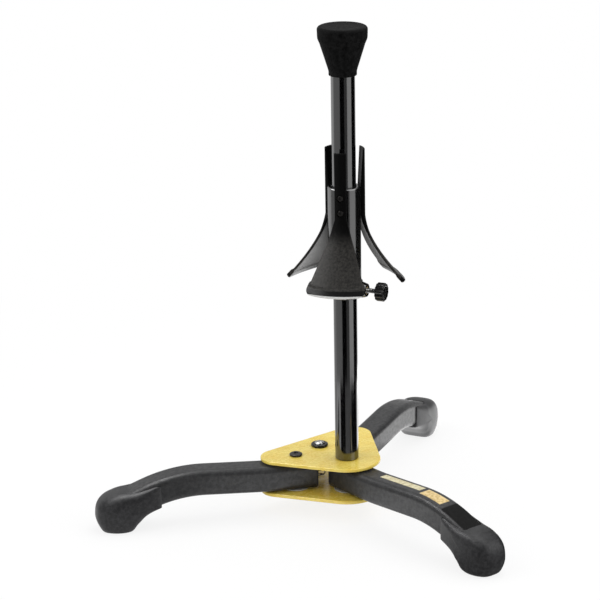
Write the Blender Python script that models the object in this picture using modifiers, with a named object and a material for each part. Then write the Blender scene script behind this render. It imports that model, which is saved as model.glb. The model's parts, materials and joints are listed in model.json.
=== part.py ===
"""Soprano saxophone stand: a folding tripod base, a pole with a rubber head, and a sliding bell peg.

Metres, +Z up. The stand is laid out about the pole's axis with the floor at z = 0 and the fixed leg
along -Y, and at the end everything is shifted so that the origin lies in the middle of the footprint.
"""
import math

import bmesh
import bpy
import numpy as np
from mathutils import Vector

MM = 0.001
GAP = 0.3 * MM            # running clearance between pieces that touch in use

# Pole
POLE_D = 16.0 * MM
POLE_WALL = 1.5 * MM
POLE_TOP_Z = 330.0 * MM   # upper end of the tube, inside the rubber head

# Rubber head on the pole
HEAD_ROOF_T = 9.5 * MM    # rubber above the tube's end
HEAD_H = 32.5 * MM
HEAD_D = 33.5 * MM
HEAD_RIM_R = 4.0 * MM
HEAD_BAND_H = 4.0 * MM    # widest band under the rim, before the taper starts
HEAD_NECK_H = 3.0 * MM
HEAD_NECK_WALL = 1.0 * MM

# Hub: two identical plates with the three legs between them
PLATE_T = 2.4 * MM
PLATE_TOP_Z = 39.2 * MM
PLATE_NOSE_R = 23.0 * MM       # outline round the pole
PLATE_LOBE_R = 13.0 * MM       # outline round each rear corner
PLATE_LOBE_X = 33.0 * MM
PLATE_LOBE_Y = 33.0 * MM
WASHER_D = 18.0 * MM
WASHER_T = 0.6 * MM

# Legs: bent box tube
LEG_W = 19.0 * MM
LEG_H = 18.5 * MM
LEG_WALL = 1.5 * MM
LEG_CORNER_R = 4.2 * MM
LEG_RISE_X = 14.0 * MM         # the tube is level to here, then climbs a little
LEG_RISE_R = 250.0 * MM
LEG_RISE_ANGLE = math.radians(3.5)
LEG_ARCH_R = 95.0 * MM         # bend down to the foot
LEG_FALL_ANGLE = math.radians(21.0)
LEG_ARCH_TO_FOOT = 20.0 * MM   # end of the bend to the middle of the sole
LEG_END_TO_FOOT = 8.0 * MM     # end of the tube to the middle of the sole
SIDE_REACH = 124.4 * MM        # pivot to the middle of the sole
FRONT_REACH = 134.0 * MM       # pole axis to the middle of the sole
SIDE_OVERHANG = 13.5 * MM      # tube behind the pivot
FRONT_OVERHANG = 9.0 * MM      # tube behind the pole axis
PIVOT_X = 24.0 * MM
PIVOT_Y = 26.0 * MM
OPEN_ANGLE = math.radians(154.8)   # direction of the left leg when open

# Rubber boots, in the leg's side view measured from the middle of the sole
BOOT_SIDE_WALL = 3.5 * MM      # rubber beside the tube, at the boot's widest
BOOT_WALL = 1.1 * MM           # rubber above and below the tube at the cuff
BOOT_CUFF_X = -28.0 * MM
BOOT_TOE_X = 16.2 * MM
BOOT_SOLE_DEPTH = 1.2 * MM     # how far the moulding is cut back to make the flat sole
BOOT_HEART = (-4.0 * MM, 15.0 * MM)   # point that the sides draw in towards
BOOT_SQUARE_CUFF = 5.4         # superellipse power of the section at the cuff
BOOT_ROUND_TOE = 3.0           # and at the toe
BOOT_SLICES = 12

# Fasteners
PIVOT_BOLT_D = 5.0 * MM
PIVOT_HEAD_D = 8.8 * MM
PIVOT_HEAD_T = 1.8 * MM
PIVOT_KEY_AF = 3.0 * MM
PIVOT_KEY_DEPTH = 1.1 * MM
PIVOT_END = 1.0 * MM           # bolt standing out below its nut
PIVOT_NUT_AF = 8.0 * MM
PIVOT_NUT_T = 4.7 * MM
POLE_BOLT_D = 6.0 * MM
POLE_BOLT_AF = 10.0 * MM
POLE_BOLT_GRIP = 18.0 * MM     # how far the pole bolt reaches into the plug
POLE_BOLT_HEAD_T = 4.0 * MM
SPACER_WALL = 1.3 * MM
LEG_SCREW_D = 4.0 * MM
LEG_SCREW_Y = -15.0 * MM

# Lock button between the two folding legs
LOCK_Y = 29.5 * MM
LOCK_BEZEL_D = 11.8 * MM
LOCK_BEZEL_T = 1.7 * MM
LOCK_NECK_WALL = 1.2 * MM
LOCK_CAP_D = 7.0 * MM
LOCK_CAP_PROUD = 1.6 * MM
LOCK_TRAVEL = 2.5 * MM
LOCK_FLANGE_D = 12.6 * MM
LOCK_FLANGE_T = 3.0 * MM
LOCK_PIN_D = 4.6 * MM
SPRING_WIRE_D = 0.8 * MM
SPRING_D = 8.0 * MM
SPRING_TURNS = 5

# Sliding bell peg, with its heights measured from the sleeve's lower end
SLEEVE_BOTTOM_Z = 156.0 * MM
SLEEVE_L = 76.0 * MM
SLEEVE_WALL = 2.65 * MM
SLEEVE_FIT = 0.35 * MM
COLLAR_STEP = 1.0 * MM
COLLAR_H = 10.0 * MM
FIN_AZIMUTHS = {"front_fin": math.radians(219.1), "right_fin": math.radians(339.1),
                "left_fin": math.radians(99.1)}
FIN_PROUD = 3.0 * MM           # face of the upright bar outside the sleeve
FIN_BAR_W = 8.7 * MM
FIN_T = 3.0 * MM
FIN_FINGER_L = 25.5 * MM       # free finger above the sleeve
FIN_TIP_T = 1.3 * MM           # thickness of the free finger at its tip
FIN_SEAT_L = 20.0 * MM         # bar screwed to the sleeve, down to where the petal starts
FIN_FOOT_RISE = 10.6 * MM      # foot of the petal above the sleeve's lower end
FIN_FLARE = 26.0 * MM          # how far the foot of the petal stands out from the bar
FIN_FLARE_POWER = 1.6
FIN_FOOT_W = 44.0 * MM
FIN_FOOT_BOW = 1.2 * MM        # the foot's edge is bowed, higher at its ends
FIN_CORNER_R = 4.0 * MM
FIN_CROWN_R = 70.0 * MM        # crown across the foot of the petal
FIN_SCREW_DROPS = (5.5 * MM, 15.5 * MM)
FIN_SCREW_HEAD_D = 4.4 * MM
FIN_SCREW_HEAD_T = 1.2 * MM
FIN_SCREW_D = 2.4 * MM

# Clamp screw on the collar
CLAMP_AZIMUTH = math.radians(298.0)
BOSS_ROOT_D = 13.0 * MM
BOSS_TIP_D = 9.0 * MM
BOSS_L = 4.0 * MM
STUD_D = 3.5 * MM
INSERT_D = 5.8 * MM
INSERT_L = 4.0 * MM
PAD_D = 4.4 * MM
PAD_T = 1.6 * MM
KNOB_D = 12.6 * MM
KNOB_L = 6.0 * MM
KNOB_STANDOFF = 7.0 * MM       # knob to the boss when the clamp is tight
KNOB_CAP_T = 1.6 * MM          # end of the knob beyond the stud's socket
KNOB_FLUTES = 12
KNOB_FLUTE_DEPTH = 0.7 * MM

# Sizes that follow from the ones above
POLE_R = POLE_D / 2
BOOT_W = LEG_W + 2 * BOOT_SIDE_WALL
HEAD_TOP_Z = POLE_TOP_Z + HEAD_ROOF_T
PLATE_UNDER_Z = PLATE_TOP_Z - PLATE_T
WASHER_SPACE = WASHER_T + 2 * GAP
LEG_TOP_Z = PLATE_UNDER_Z - WASHER_SPACE
LEG_MID_Z = LEG_TOP_Z - LEG_H / 2
LOWER_PLATE_TOP_Z = LEG_TOP_Z - LEG_H - WASHER_SPACE
LOWER_PLATE_UNDER_Z = LOWER_PLATE_TOP_Z - PLATE_T
POLE_FOOT_Z = PLATE_TOP_Z + GAP
SLEEVE_TOP_Z = SLEEVE_BOTTOM_Z + SLEEVE_L
SLEEVE_BORE_R = POLE_R + SLEEVE_FIT
SLEEVE_R = SLEEVE_BORE_R + SLEEVE_WALL
COLLAR_R = SLEEVE_R + COLLAR_STEP
FIN_R = SLEEVE_R + FIN_PROUD
FIN_TOP_Z = SLEEVE_TOP_Z + FIN_FINGER_L
FIN_FLARE_Z = SLEEVE_TOP_Z - FIN_SEAT_L
FIN_BOTTOM_Z = SLEEVE_BOTTOM_Z + FIN_FOOT_RISE
FIN_SCREW_Z = [SLEEVE_TOP_Z - drop for drop in FIN_SCREW_DROPS]
FIN_SAG = FIN_R - math.sqrt(FIN_R ** 2 - (FIN_BAR_W / 2) ** 2)
FIN_SEAT_R = FIN_R - FIN_T - FIN_SAG - GAP
CLAMP_Z = SLEEVE_BOTTOM_Z + COLLAR_H / 2
BOSS_TIP_R = COLLAR_R + BOSS_L
KNOB_FACE_R = BOSS_TIP_R + KNOB_STANDOFF + KNOB_L


def clear_hole(diameter):
    """A hole that lets a pin of this diameter through with the running clearance."""
    return diameter + 2 * GAP


def spacer_diameter(bolt_d):
    """Outside of the spacer tube round a bolt."""
    return clear_hole(bolt_d) + 2 * SPACER_WALL


# Finishes: base colour, roughness, metallic
FINISHES = {
    "black_powder_coat": ((0.018, 0.018, 0.020), 0.42, 0.0),
    "yellow_enamel": ((0.80, 0.55, 0.03), 0.38, 0.0),
    "black_rubber": ((0.012, 0.012, 0.012), 0.75, 0.0),
    "black_nylon": ((0.022, 0.022, 0.024), 0.50, 0.0),
    "black_oxide_steel": ((0.030, 0.028, 0.026), 0.45, 0.8),
    "zinc_steel": ((0.55, 0.55, 0.56), 0.35, 1.0),
    "brass": ((0.60, 0.44, 0.18), 0.32, 1.0),
    "white_nylon": ((0.75, 0.75, 0.72), 0.55, 0.0),
}

for old in list(bpy.data.objects):
    bpy.data.objects.remove(old, do_unlink=True)
PARTS = bpy.data.collections.new("soprano_saxophone_stand")
CUTTERS = bpy.data.collections.new("cutters")
bpy.context.scene.collection.children.link(PARTS)
bpy.context.scene.collection.children.link(CUTTERS)


# Helpers
def finish_material(name, finish):
    """One Principled material for a piece, from the table of finishes."""
    colour, roughness, metallic = FINISHES[finish]
    material = bpy.data.materials.new(f"{name}_{finish}")
    material.use_nodes = True
    shader = material.node_tree.nodes["Principled BSDF"]
    shader.inputs["Base Color"].default_value = (*colour, 1.0)
    shader.inputs["Roughness"].default_value = roughness
    shader.inputs["Metallic"].default_value = metallic
    return material


def place(obj, parent, location=(0.0, 0.0, 0.0), rotation=(0.0, 0.0, 0.0)):
    """Parent an object and set its place in the parent's frame."""
    obj.parent = parent
    obj.location = location
    obj.rotation_euler = rotation
    return obj


def empty(name, parent=None, location=(0.0, 0.0, 0.0), rotation=(0.0, 0.0, 0.0)):
    obj = bpy.data.objects.new(name, None)
    obj.empty_display_size = 0.02
    PARTS.objects.link(obj)
    return place(obj, parent, location, rotation)


def piece(name, mesh, finish, parent, location=(0.0, 0.0, 0.0), rotation=(0.0, 0.0, 0.0)):
    """A named part made from a mesh, with its own material."""
    obj = bpy.data.objects.new(name, mesh)
    PARTS.objects.link(obj)
    mesh.materials.append(finish_material(name, finish))
    return place(obj, parent, location, rotation)


def cutter(name, mesh, parent, location=(0.0, 0.0, 0.0), rotation=(0.0, 0.0, 0.0)):
    """A helper solid that a Boolean takes away, or adds; it isn't a part."""
    obj = bpy.data.objects.new(name, mesh)
    CUTTERS.objects.link(obj)
    obj.display_type = "WIRE"
    obj.hide_render = True
    return place(obj, parent, location, rotation)


def boolean(obj, tool, operation="DIFFERENCE"):
    modifier = obj.modifiers.new(f"{operation.lower()}_{tool.name}", "BOOLEAN")
    modifier.operation = operation
    modifier.object = tool
    return obj


def bevel(obj, width, segments=2, angle=math.radians(40)):
    modifier = obj.modifiers.new("edges", "BEVEL")
    modifier.width = width
    modifier.segments = segments
    modifier.limit_method = "ANGLE"
    modifier.angle_limit = angle
    return obj


def to_mesh(name, bm):
    mesh = bpy.data.meshes.new(name)
    bm.to_mesh(mesh)
    bm.free()
    return mesh


def smooth(mesh, angle=math.radians(35)):
    mesh.shade_smooth()
    mesh.set_sharp_from_angle(angle=angle)
    return mesh


def cylinder(name, diameter, z_low, z_high, sides=24):
    """A closed cylinder or, with six sides, a hexagon across its corners."""
    bm = bmesh.new()
    bmesh.ops.create_cone(bm, cap_ends=True, segments=sides, radius1=diameter / 2, radius2=diameter / 2,
                          depth=z_high - z_low)
    bmesh.ops.translate(bm, verts=bm.verts, vec=(0, 0, (z_high + z_low) / 2))
    return to_mesh(name, bm)


def box(name, low, high):
    bm = bmesh.new()
    bmesh.ops.create_cube(bm, size=1.0)
    bmesh.ops.scale(bm, verts=bm.verts, vec=[h - l for l, h in zip(low, high)])
    bmesh.ops.translate(bm, verts=bm.verts, vec=[(h + l) / 2 for l, h in zip(low, high)])
    return to_mesh(name, bm)


def profile_mesh(name, points, closed):
    """A turned profile in the XZ plane, running down its outer side."""
    bm = bmesh.new()
    verts = [bm.verts.new((r, 0, z)) for r, z in points]
    for a, b in zip(verts, verts[1:]):
        bm.edges.new((a, b))
    if closed:
        bm.edges.new((verts[-1], verts[0]))
    return to_mesh(name, bm)


def turn(obj, steps):
    """Sweep an object's profile round its Z axis."""
    modifier = obj.modifiers.new("turn", "SCREW")
    modifier.steps = steps
    modifier.render_steps = steps
    modifier.use_merge_vertices = True
    modifier.merge_threshold = 0.00001
    modifier.use_smooth_shade = True
    return obj


def turned(name, points, finish, parent, steps=20, closed=False, location=(0, 0, 0), rotation=(0, 0, 0)):
    obj = piece(name, profile_mesh(name, points, closed), finish, parent, location, rotation)
    return turn(obj, steps)


def evaluated_mesh(curve_obj, name):
    """The mesh of a curve object, welded, with the curve itself removed."""
    bpy.context.view_layer.update()
    graph = bpy.context.evaluated_depsgraph_get()
    mesh = bpy.data.meshes.new_from_object(curve_obj.evaluated_get(graph))
    mesh.name = name
    bpy.data.objects.remove(curve_obj, do_unlink=True)
    bm = bmesh.new()
    bm.from_mesh(mesh)
    bmesh.ops.remove_doubles(bm, verts=bm.verts, dist=0.00001)
    bm.to_mesh(mesh)
    bm.free()
    return mesh


def poly_curve(name, points, cyclic=False, dimensions="3D"):
    curve = bpy.data.curves.new(name, "CURVE")
    curve.dimensions = dimensions
    spline = curve.splines.new("POLY")
    spline.points.add(len(points) - 1)
    for point, place_at in zip(spline.points, points):
        point.co = (*place_at, 1.0)
    spline.use_cyclic_u = cyclic
    obj = bpy.data.objects.new(name, curve)
    CUTTERS.objects.link(obj)
    return obj


def arc(centre, radius, start, end, steps):
    """Points of a flat arc, both ends included."""
    return [(centre[0] + radius * math.cos(start + (end - start) * k / steps),
             centre[1] + radius * math.sin(start + (end - start) * k / steps)) for k in range(steps + 1)]


def flat_outline(name, outline, z_low, z_high):
    """A flat outline as a filled 2D curve with its thickness, made a mesh with whole caps."""
    obj = poly_curve(name, [(x, y, 0.0) for x, y in outline], cyclic=True, dimensions="2D")
    obj.data.fill_mode = "BOTH"
    obj.data.extrude = (z_high - z_low) / 2
    mesh = evaluated_mesh(obj, name)
    bm = bmesh.new()
    bm.from_mesh(mesh)
    bmesh.ops.dissolve_limit(bm, angle_limit=math.radians(0.5), verts=bm.verts, edges=bm.edges)
    bmesh.ops.translate(bm, verts=bm.verts, vec=(0, 0, (z_high + z_low) / 2))
    bmesh.ops.recalc_face_normals(bm, faces=bm.faces)
    bm.to_mesh(mesh)
    bm.free()
    return mesh


def grid_mesh(name, points):
    """An open sheet through a grid of points, rows by columns."""
    rows, columns, _ = points.shape
    bm = bmesh.new()
    verts = [[bm.verts.new(points[i, j]) for j in range(columns)] for i in range(rows)]
    for i in range(rows - 1):
        for j in range(columns - 1):
            bm.faces.new((verts[i][j], verts[i + 1][j], verts[i + 1][j + 1], verts[i][j + 1]))
    return to_mesh(name, bm)


# Frames that the sub-assemblies hang from
stand = empty("stand")
left_pivot = empty("left_leg_pivot", stand, (-PIVOT_X, PIVOT_Y, LEG_MID_Z), (0, 0, OPEN_ANGLE))
right_pivot = empty("right_leg_pivot", stand, (PIVOT_X, PIVOT_Y, LEG_MID_Z), (0, 0, math.pi - OPEN_ANGLE))
front_seat = empty("front_leg_seat", stand, (0, 0, LEG_MID_Z), (0, 0, -math.pi / 2))
lock_axis = empty("lock_axis", stand, (0, LOCK_Y, 0))
peg_axis = empty("peg_axis", stand)
clamp_axis = empty("clamp_axis", peg_axis, (0, 0, CLAMP_Z), (0, math.pi / 2, CLAMP_AZIMUTH))


# Pole, its threaded plug and the rubber head
def build_pole():
    inner = POLE_R - POLE_WALL
    turned("pole", [(POLE_R, POLE_TOP_Z), (POLE_R, POLE_FOOT_Z), (inner, POLE_FOOT_Z), (inner, POLE_TOP_Z)],
           "black_powder_coat", stand, steps=28, closed=True)
    plug_r = inner - GAP
    plug_top = POLE_FOOT_Z + POLE_BOLT_GRIP + 4 * MM
    bore = clear_hole(POLE_BOLT_D) / 2
    turned("pole_plug", [(plug_r, plug_top), (plug_r, POLE_FOOT_Z + GAP), (bore, POLE_FOOT_Z + GAP),
                         (bore, plug_top)], "zinc_steel", stand, closed=True)


def build_head():
    """A tulip-shaped rubber cap: narrow neck on the tube, widest near its flat top."""
    neck_r = POLE_R + GAP + HEAD_NECK_WALL
    wide_r = HEAD_D / 2
    bottom = HEAD_TOP_Z - HEAD_H
    rim_z = HEAD_TOP_Z - HEAD_RIM_R
    rim = [(wide_r - HEAD_RIM_R * (1 - math.sin(a)), rim_z + HEAD_RIM_R * math.cos(a))
           for a in np.linspace(0, math.pi / 2, 5)]
    taper = [(wide_r - 0.4 * MM, rim_z - HEAD_BAND_H), (wide_r - 1.6 * MM, rim_z - HEAD_BAND_H - 3 * MM),
             (neck_r + 0.5 * MM, bottom + HEAD_NECK_H + 1.5 * MM), (neck_r, bottom + HEAD_NECK_H),
             (neck_r - 0.2 * MM, bottom)]
    bore_r = POLE_R + GAP
    bore_top = POLE_TOP_Z + GAP
    bore = [(bore_r, bottom), (bore_r, bore_top), (0.0, bore_top)]
    turned("head_cap", [(0.0, HEAD_TOP_Z)] + rim + taper + bore, "black_rubber", stand, steps=28)


# Hub plates
def plate_outline():
    """Hull of a circle round the pole and one at each rear corner, counter-clockwise."""
    distance = math.hypot(PLATE_LOBE_X, PLATE_LOBE_Y)
    towards = math.atan2(PLATE_LOBE_Y, PLATE_LOBE_X)
    side = towards - math.acos((PLATE_NOSE_R - PLATE_LOBE_R) / distance)
    nose = arc((0, 0), PLATE_NOSE_R, math.pi - side, 2 * math.pi + side, 10)
    right = arc((PLATE_LOBE_X, PLATE_LOBE_Y), PLATE_LOBE_R, side, math.pi / 2, 7)
    left = arc((-PLATE_LOBE_X, PLATE_LOBE_Y), PLATE_LOBE_R, math.pi / 2, math.pi - side, 7)
    return nose + right + left


def build_plate(name, z_low, z_high, holes):
    """One hub plate with its edge broken and its holes drilled; holes are (x, y, diameter)."""
    mesh = flat_outline(name, plate_outline(), z_low, z_high)
    obj = bevel(piece(name, mesh, "yellow_enamel", stand), 0.5 * MM, segments=1)
    for k, (x, y, diameter) in enumerate(holes):
        drill = cylinder(f"{name}_drill_{k}", diameter, z_low - MM, z_high + MM, sides=20)
        boolean(obj, cutter(f"{name}_drill_{k}", drill, stand, (x, y, 0)))
    return obj


def build_plates():
    bolts = [(-PIVOT_X, PIVOT_Y, clear_hole(PIVOT_BOLT_D)), (PIVOT_X, PIVOT_Y, clear_hole(PIVOT_BOLT_D)),
             (0.0, 0.0, clear_hole(POLE_BOLT_D))]
    bezel_hole = (0.0, LOCK_Y, clear_hole(clear_hole(LOCK_CAP_D) + 2 * LOCK_NECK_WALL))
    build_plate("top_plate", PLATE_UNDER_Z, PLATE_TOP_Z, bolts + [bezel_hole])
    screw_hole = (0.0, LEG_SCREW_Y, clear_hole(LEG_SCREW_D))
    build_plate("bottom_plate", LOWER_PLATE_UNDER_Z, LOWER_PLATE_TOP_Z, bolts + [screw_hole])


# Legs and boots, built along +X from the pivot, with z measured from the middle of the tube
def leg_path(reach, overhang, grow_end=0.0, from_x=None):
    """Level at the hub, a slight climb, a bend down, and a short straight end inside the boot."""
    rise_x = LEG_RISE_X + reach - SIDE_REACH
    points = [(-overhang, 0.0)]
    points += arc((rise_x, LEG_RISE_R), LEG_RISE_R, -math.pi / 2, LEG_RISE_ANGLE - math.pi / 2, 2)
    climb_x, climb_z = points[-1]
    arch_x = reach - LEG_ARCH_TO_FOOT - LEG_ARCH_R * (math.sin(LEG_RISE_ANGLE) + math.sin(LEG_FALL_ANGLE))
    arch_z = climb_z + (arch_x - climb_x) * math.tan(LEG_RISE_ANGLE)
    centre = (arch_x + LEG_ARCH_R * math.sin(LEG_RISE_ANGLE), arch_z - LEG_ARCH_R * math.cos(LEG_RISE_ANGLE))
    points += arc(centre, LEG_ARCH_R, math.pi / 2 + LEG_RISE_ANGLE, math.pi / 2 - LEG_FALL_ANGLE, 6)
    end = (LEG_ARCH_TO_FOOT - LEG_END_TO_FOOT) / math.cos(LEG_FALL_ANGLE) + grow_end
    last_x, last_z = points[-1]
    points.append((last_x + end * math.cos(LEG_FALL_ANGLE), last_z - end * math.sin(LEG_FALL_ANGLE)))
    if from_x is not None:
        points = [point for point in points if point[0] > from_x]
    return [(x, 0.0, z) for x, z in points]


def swept_tube(name, path, grow, caps):
    """A rounded box section, larger than the leg's by grow all round, carried along a path."""
    half_w = LEG_W / 2 + grow
    half_h = LEG_H / 2 + grow
    radius = LEG_CORNER_R + grow
    section = []
    for turn_by, (cx, cy) in enumerate([(1, 1), (-1, 1), (-1, -1), (1, -1)]):
        centre = (cx * (half_w - radius), cy * (half_h - radius))
        section += arc(centre, radius, turn_by * math.pi / 2, (turn_by + 1) * math.pi / 2, 3)
    profile = poly_curve(f"{name}_section", [(x, y, 0.0) for x, y in section], cyclic=True, dimensions="2D")
    rail = poly_curve(f"{name}_rail", path)
    rail.data.twist_mode = "Z_UP"
    rail.data.bevel_mode = "OBJECT"
    rail.data.bevel_object = profile
    rail.data.use_fill_caps = caps
    mesh = evaluated_mesh(rail, name)
    bpy.data.objects.remove(profile, do_unlink=True)
    bm = bmesh.new()
    bm.from_mesh(mesh)
    bmesh.ops.recalc_face_normals(bm, faces=bm.faces)
    bm.to_mesh(mesh)
    bm.free()
    return mesh


def build_leg(name, seat, reach, overhang, bolt_d, screw_x=None):
    """An open-ended box tube with its bolt holes through both flat walls."""
    mesh = swept_tube(name, leg_path(reach, overhang), 0.0, caps=False)
    obj = piece(name, smooth(mesh), "black_powder_coat", seat)
    wall = obj.modifiers.new("wall", "SOLIDIFY")
    wall.thickness = LEG_WALL
    wall.offset = -1.0
    wall.use_even_offset = True
    drill = cylinder(f"{name}_bolt_drill", clear_hole(spacer_diameter(bolt_d)), -LEG_H, LEG_H)
    boolean(obj, cutter(f"{name}_bolt_drill", drill, seat))
    if screw_x is not None:
        small = cylinder(f"{name}_screw_drill", clear_hole(LEG_SCREW_D), -LEG_H, 0.0, sides=16)
        boolean(obj, cutter(f"{name}_screw_drill", small, seat, (screw_x, 0, 0)))
    return obj


def boot_outline():
    """Side view of the boot, from the sole's middle: the rubber follows the bent tube at the cuff and
    closes round its end with a sloping heel, a flat sole and a blunt toe."""
    path = np.array(leg_path(SIDE_REACH, 0.0))
    half = LEG_H / 2 / math.cos(LEG_FALL_ANGLE) + BOOT_WALL

    def centre(x):
        return LEG_MID_Z + np.interp(SIDE_REACH + x, path[:, 0], path[:, 2])

    cuff_x = BOOT_CUFF_X - 6 * MM
    heel_x = 0.69 * BOOT_CUFF_X
    shin_x = 0.44 * BOOT_CUFF_X
    sole = -BOOT_SOLE_DEPTH
    curve = bpy.data.curves.new("boot_outline", "CURVE")
    spline = curve.splines.new("BEZIER")
    anchors = [
        ((cuff_x, centre(cuff_x) + half - 0.9 * MM), "VECTOR"),
        ((cuff_x, centre(cuff_x) - half + 0.7 * MM), "VECTOR"),
        ((heel_x, centre(heel_x) - half), "AUTO"), ((shin_x, 0.21 * LEG_MID_Z), "AUTO"),
        ((-6.0 * MM, sole), "AUTO"), ((10.0 * MM, sole), "AUTO"),
        ((14.2 * MM, 0.14 * LEG_MID_Z), "AUTO"), ((BOOT_TOE_X, 0.52 * LEG_MID_Z), "AUTO"),
        ((12.4 * MM, 0.90 * LEG_MID_Z), "AUTO"), ((3.0 * MM, 1.08 * LEG_MID_Z), "AUTO"),
        ((shin_x, centre(shin_x) + half - 0.4 * MM), "AUTO"),
    ]
    spline.bezier_points.add(len(anchors) - 1)
    for point, ((x, z), handle) in zip(spline.bezier_points, anchors):
        point.co = (x, z, 0.0)
        point.handle_left_type = handle
        point.handle_right_type = handle
    spline.use_cyclic_u = True
    curve.resolution_u = 2
    obj = bpy.data.objects.new("boot_outline", curve)
    CUTTERS.objects.link(obj)
    mesh = evaluated_mesh(obj, "boot_outline")
    outline = np.array([vertex.co[:2] for vertex in mesh.vertices])
    bpy.data.meshes.remove(mesh)
    return outline


def boot_mesh(name, reach):
    """The side view swelled sideways: each slice is the outline drawn in towards the boot's heart,
    following a superellipse that is squarer at the cuff and rounder at the toe."""
    outline = boot_outline()
    heart = np.array(BOOT_HEART)
    lean = np.linspace(-math.pi / 2, math.pi / 2, BOOT_SLICES + 1)[1:-1]
    squareness = np.interp(outline[:, 0], [-24 * MM, 10 * MM], [BOOT_SQUARE_CUFF, BOOT_ROUND_TOE])
    bm = bmesh.new()
    rings = []
    for angle in lean:
        shrink = np.cos(angle) ** (2 / squareness)
        side = np.sign(angle) * abs(math.sin(angle)) ** (2 / squareness)
        x = heart[0] + shrink * (outline[:, 0] - heart[0])
        z = heart[1] + shrink * (outline[:, 1] - heart[1])
        half_width = np.interp(x, [BOOT_CUFF_X, -12 * MM], [0.45 * BOOT_W, 0.5 * BOOT_W])
        y = half_width * side
        rings.append([bm.verts.new((reach + a, b, c - LEG_MID_Z)) for a, b, c in zip(x, y, z)])
    count = len(outline)
    for near, far in zip(rings, rings[1:]):
        for j in range(count):
            k = (j + 1) % count
            bm.faces.new((near[j], near[k], far[k], far[j]))
    for ring, side in ((rings[0], -1), (rings[-1], 1)):
        pole = bm.verts.new((reach + heart[0], side * BOOT_W / 2, heart[1] - LEG_MID_Z))
        for j in range(count):
            bm.faces.new((pole, ring[j], ring[(j + 1) % count]))
    bmesh.ops.recalc_face_normals(bm, faces=bm.faces)
    return to_mesh(name, bm)


def build_boot(name, seat, reach):
    """The moulded boot, trimmed flat at the sole and the cuff, with a socket for the tube's end."""
    obj = piece(name, smooth(boot_mesh(name, reach)), "black_rubber", seat)
    far = 60 * MM
    floor = box(f"{name}_floor", (reach - far, -far, -far), (reach + far, far, -LEG_MID_Z))
    cuff = box(f"{name}_cuff", (reach - far, -far, -far), (reach + BOOT_CUFF_X, far, far))
    socket_path = leg_path(reach, 0.0, grow_end=GAP, from_x=reach - far)
    socket = swept_tube(f"{name}_socket", socket_path, GAP, caps=True)
    for tool, mesh in (("floor", floor), ("cuff", cuff), ("socket", socket)):
        boolean(obj, cutter(f"{name}_{tool}", mesh, seat))
    return obj


def build_legs():
    build_leg("front_leg", front_seat, FRONT_REACH, FRONT_OVERHANG, POLE_BOLT_D, screw_x=-LEG_SCREW_Y)
    build_boot("front_foot", front_seat, FRONT_REACH)
    for side, seat in (("left", left_pivot), ("right", right_pivot)):
        build_leg(f"{side}_leg", seat, SIDE_REACH, SIDE_OVERHANG, PIVOT_BOLT_D)
        build_boot(f"{side}_foot", seat, SIDE_REACH)


# Bolts, nuts, spacers and washers of the hub
def ring(name, outer_d, inner_d, z_low, z_high, finish, parent, location=(0, 0, 0), steps=18):
    points = [(outer_d / 2, z_high), (outer_d / 2, z_low), (inner_d / 2, z_low), (inner_d / 2, z_high)]
    return turned(name, points, finish, parent, steps, closed=True, location=location)


def across_corners(across_flats):
    return across_flats / math.cos(math.pi / 6)


def hexagon(name, across_flats, z_low, z_high, finish, parent, location=(0, 0, 0)):
    mesh = cylinder(name, across_corners(across_flats), z_low, z_high, sides=6)
    return bevel(piece(name, mesh, finish, parent, location), 0.4 * MM, segments=1)


def build_stack(side, x, y, bolt_d):
    """Spacer tube and the two washers that a leg turns or sits on."""
    spacer_d = spacer_diameter(bolt_d)
    ring(f"{side}_spacer", spacer_d, clear_hole(bolt_d), LOWER_PLATE_TOP_Z + GAP, PLATE_UNDER_Z - GAP,
         "zinc_steel", stand, (x, y, 0))
    for level, z in (("upper", LEG_TOP_Z + GAP), ("lower", LOWER_PLATE_TOP_Z + GAP)):
        ring(f"{side}_{level}_washer", WASHER_D, clear_hole(spacer_d), z, z + WASHER_T, "white_nylon",
             stand, (x, y, 0))


def build_pivot(side, x, y):
    """Low round-headed bolt down through the hub, with a lock nut under the lower plate."""
    build_stack(side, x, y, PIVOT_BOLT_D)
    head_low = PLATE_TOP_Z + GAP
    head_top = head_low + PIVOT_HEAD_T
    edge = 0.6 * MM
    nut_top = LOWER_PLATE_UNDER_Z - GAP
    end = nut_top - PIVOT_NUT_T - PIVOT_END
    key_low = head_top - PIVOT_KEY_DEPTH
    r = PIVOT_BOLT_D / 2
    dome = [(PIVOT_HEAD_D / 2 * math.sin(a), head_low + edge + (PIVOT_HEAD_T - edge) * math.cos(a))
            for a in np.linspace(0, math.pi / 2, 5)]
    shank = [(PIVOT_HEAD_D / 2, head_low), (r, head_low), (r, end + edge), (r - edge, end), (0.0, end)]
    facets = 16
    bolt = turned(f"{side}_pivot_bolt", dome + shank, "black_oxide_steel", stand, facets, location=(x, y, 0))
    key = cylinder(f"{side}_bolt_key", across_corners(PIVOT_KEY_AF), key_low, head_top + MM, sides=6)
    boolean(bolt, cutter(f"{side}_bolt_key", key, stand, (x, y, 0), (0, 0, math.pi / facets)))
    nut_low = nut_top - PIVOT_NUT_T
    nut = hexagon(f"{side}_pivot_nut", PIVOT_NUT_AF, nut_low, nut_top, "zinc_steel", stand, (x, y, 0))
    bore = cylinder(f"{side}_nut_bore", clear_hole(PIVOT_BOLT_D), 0.0, PLATE_TOP_Z, sides=20)
    boolean(nut, cutter(f"{side}_nut_bore", bore, stand, (x, y, 0)))


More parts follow.
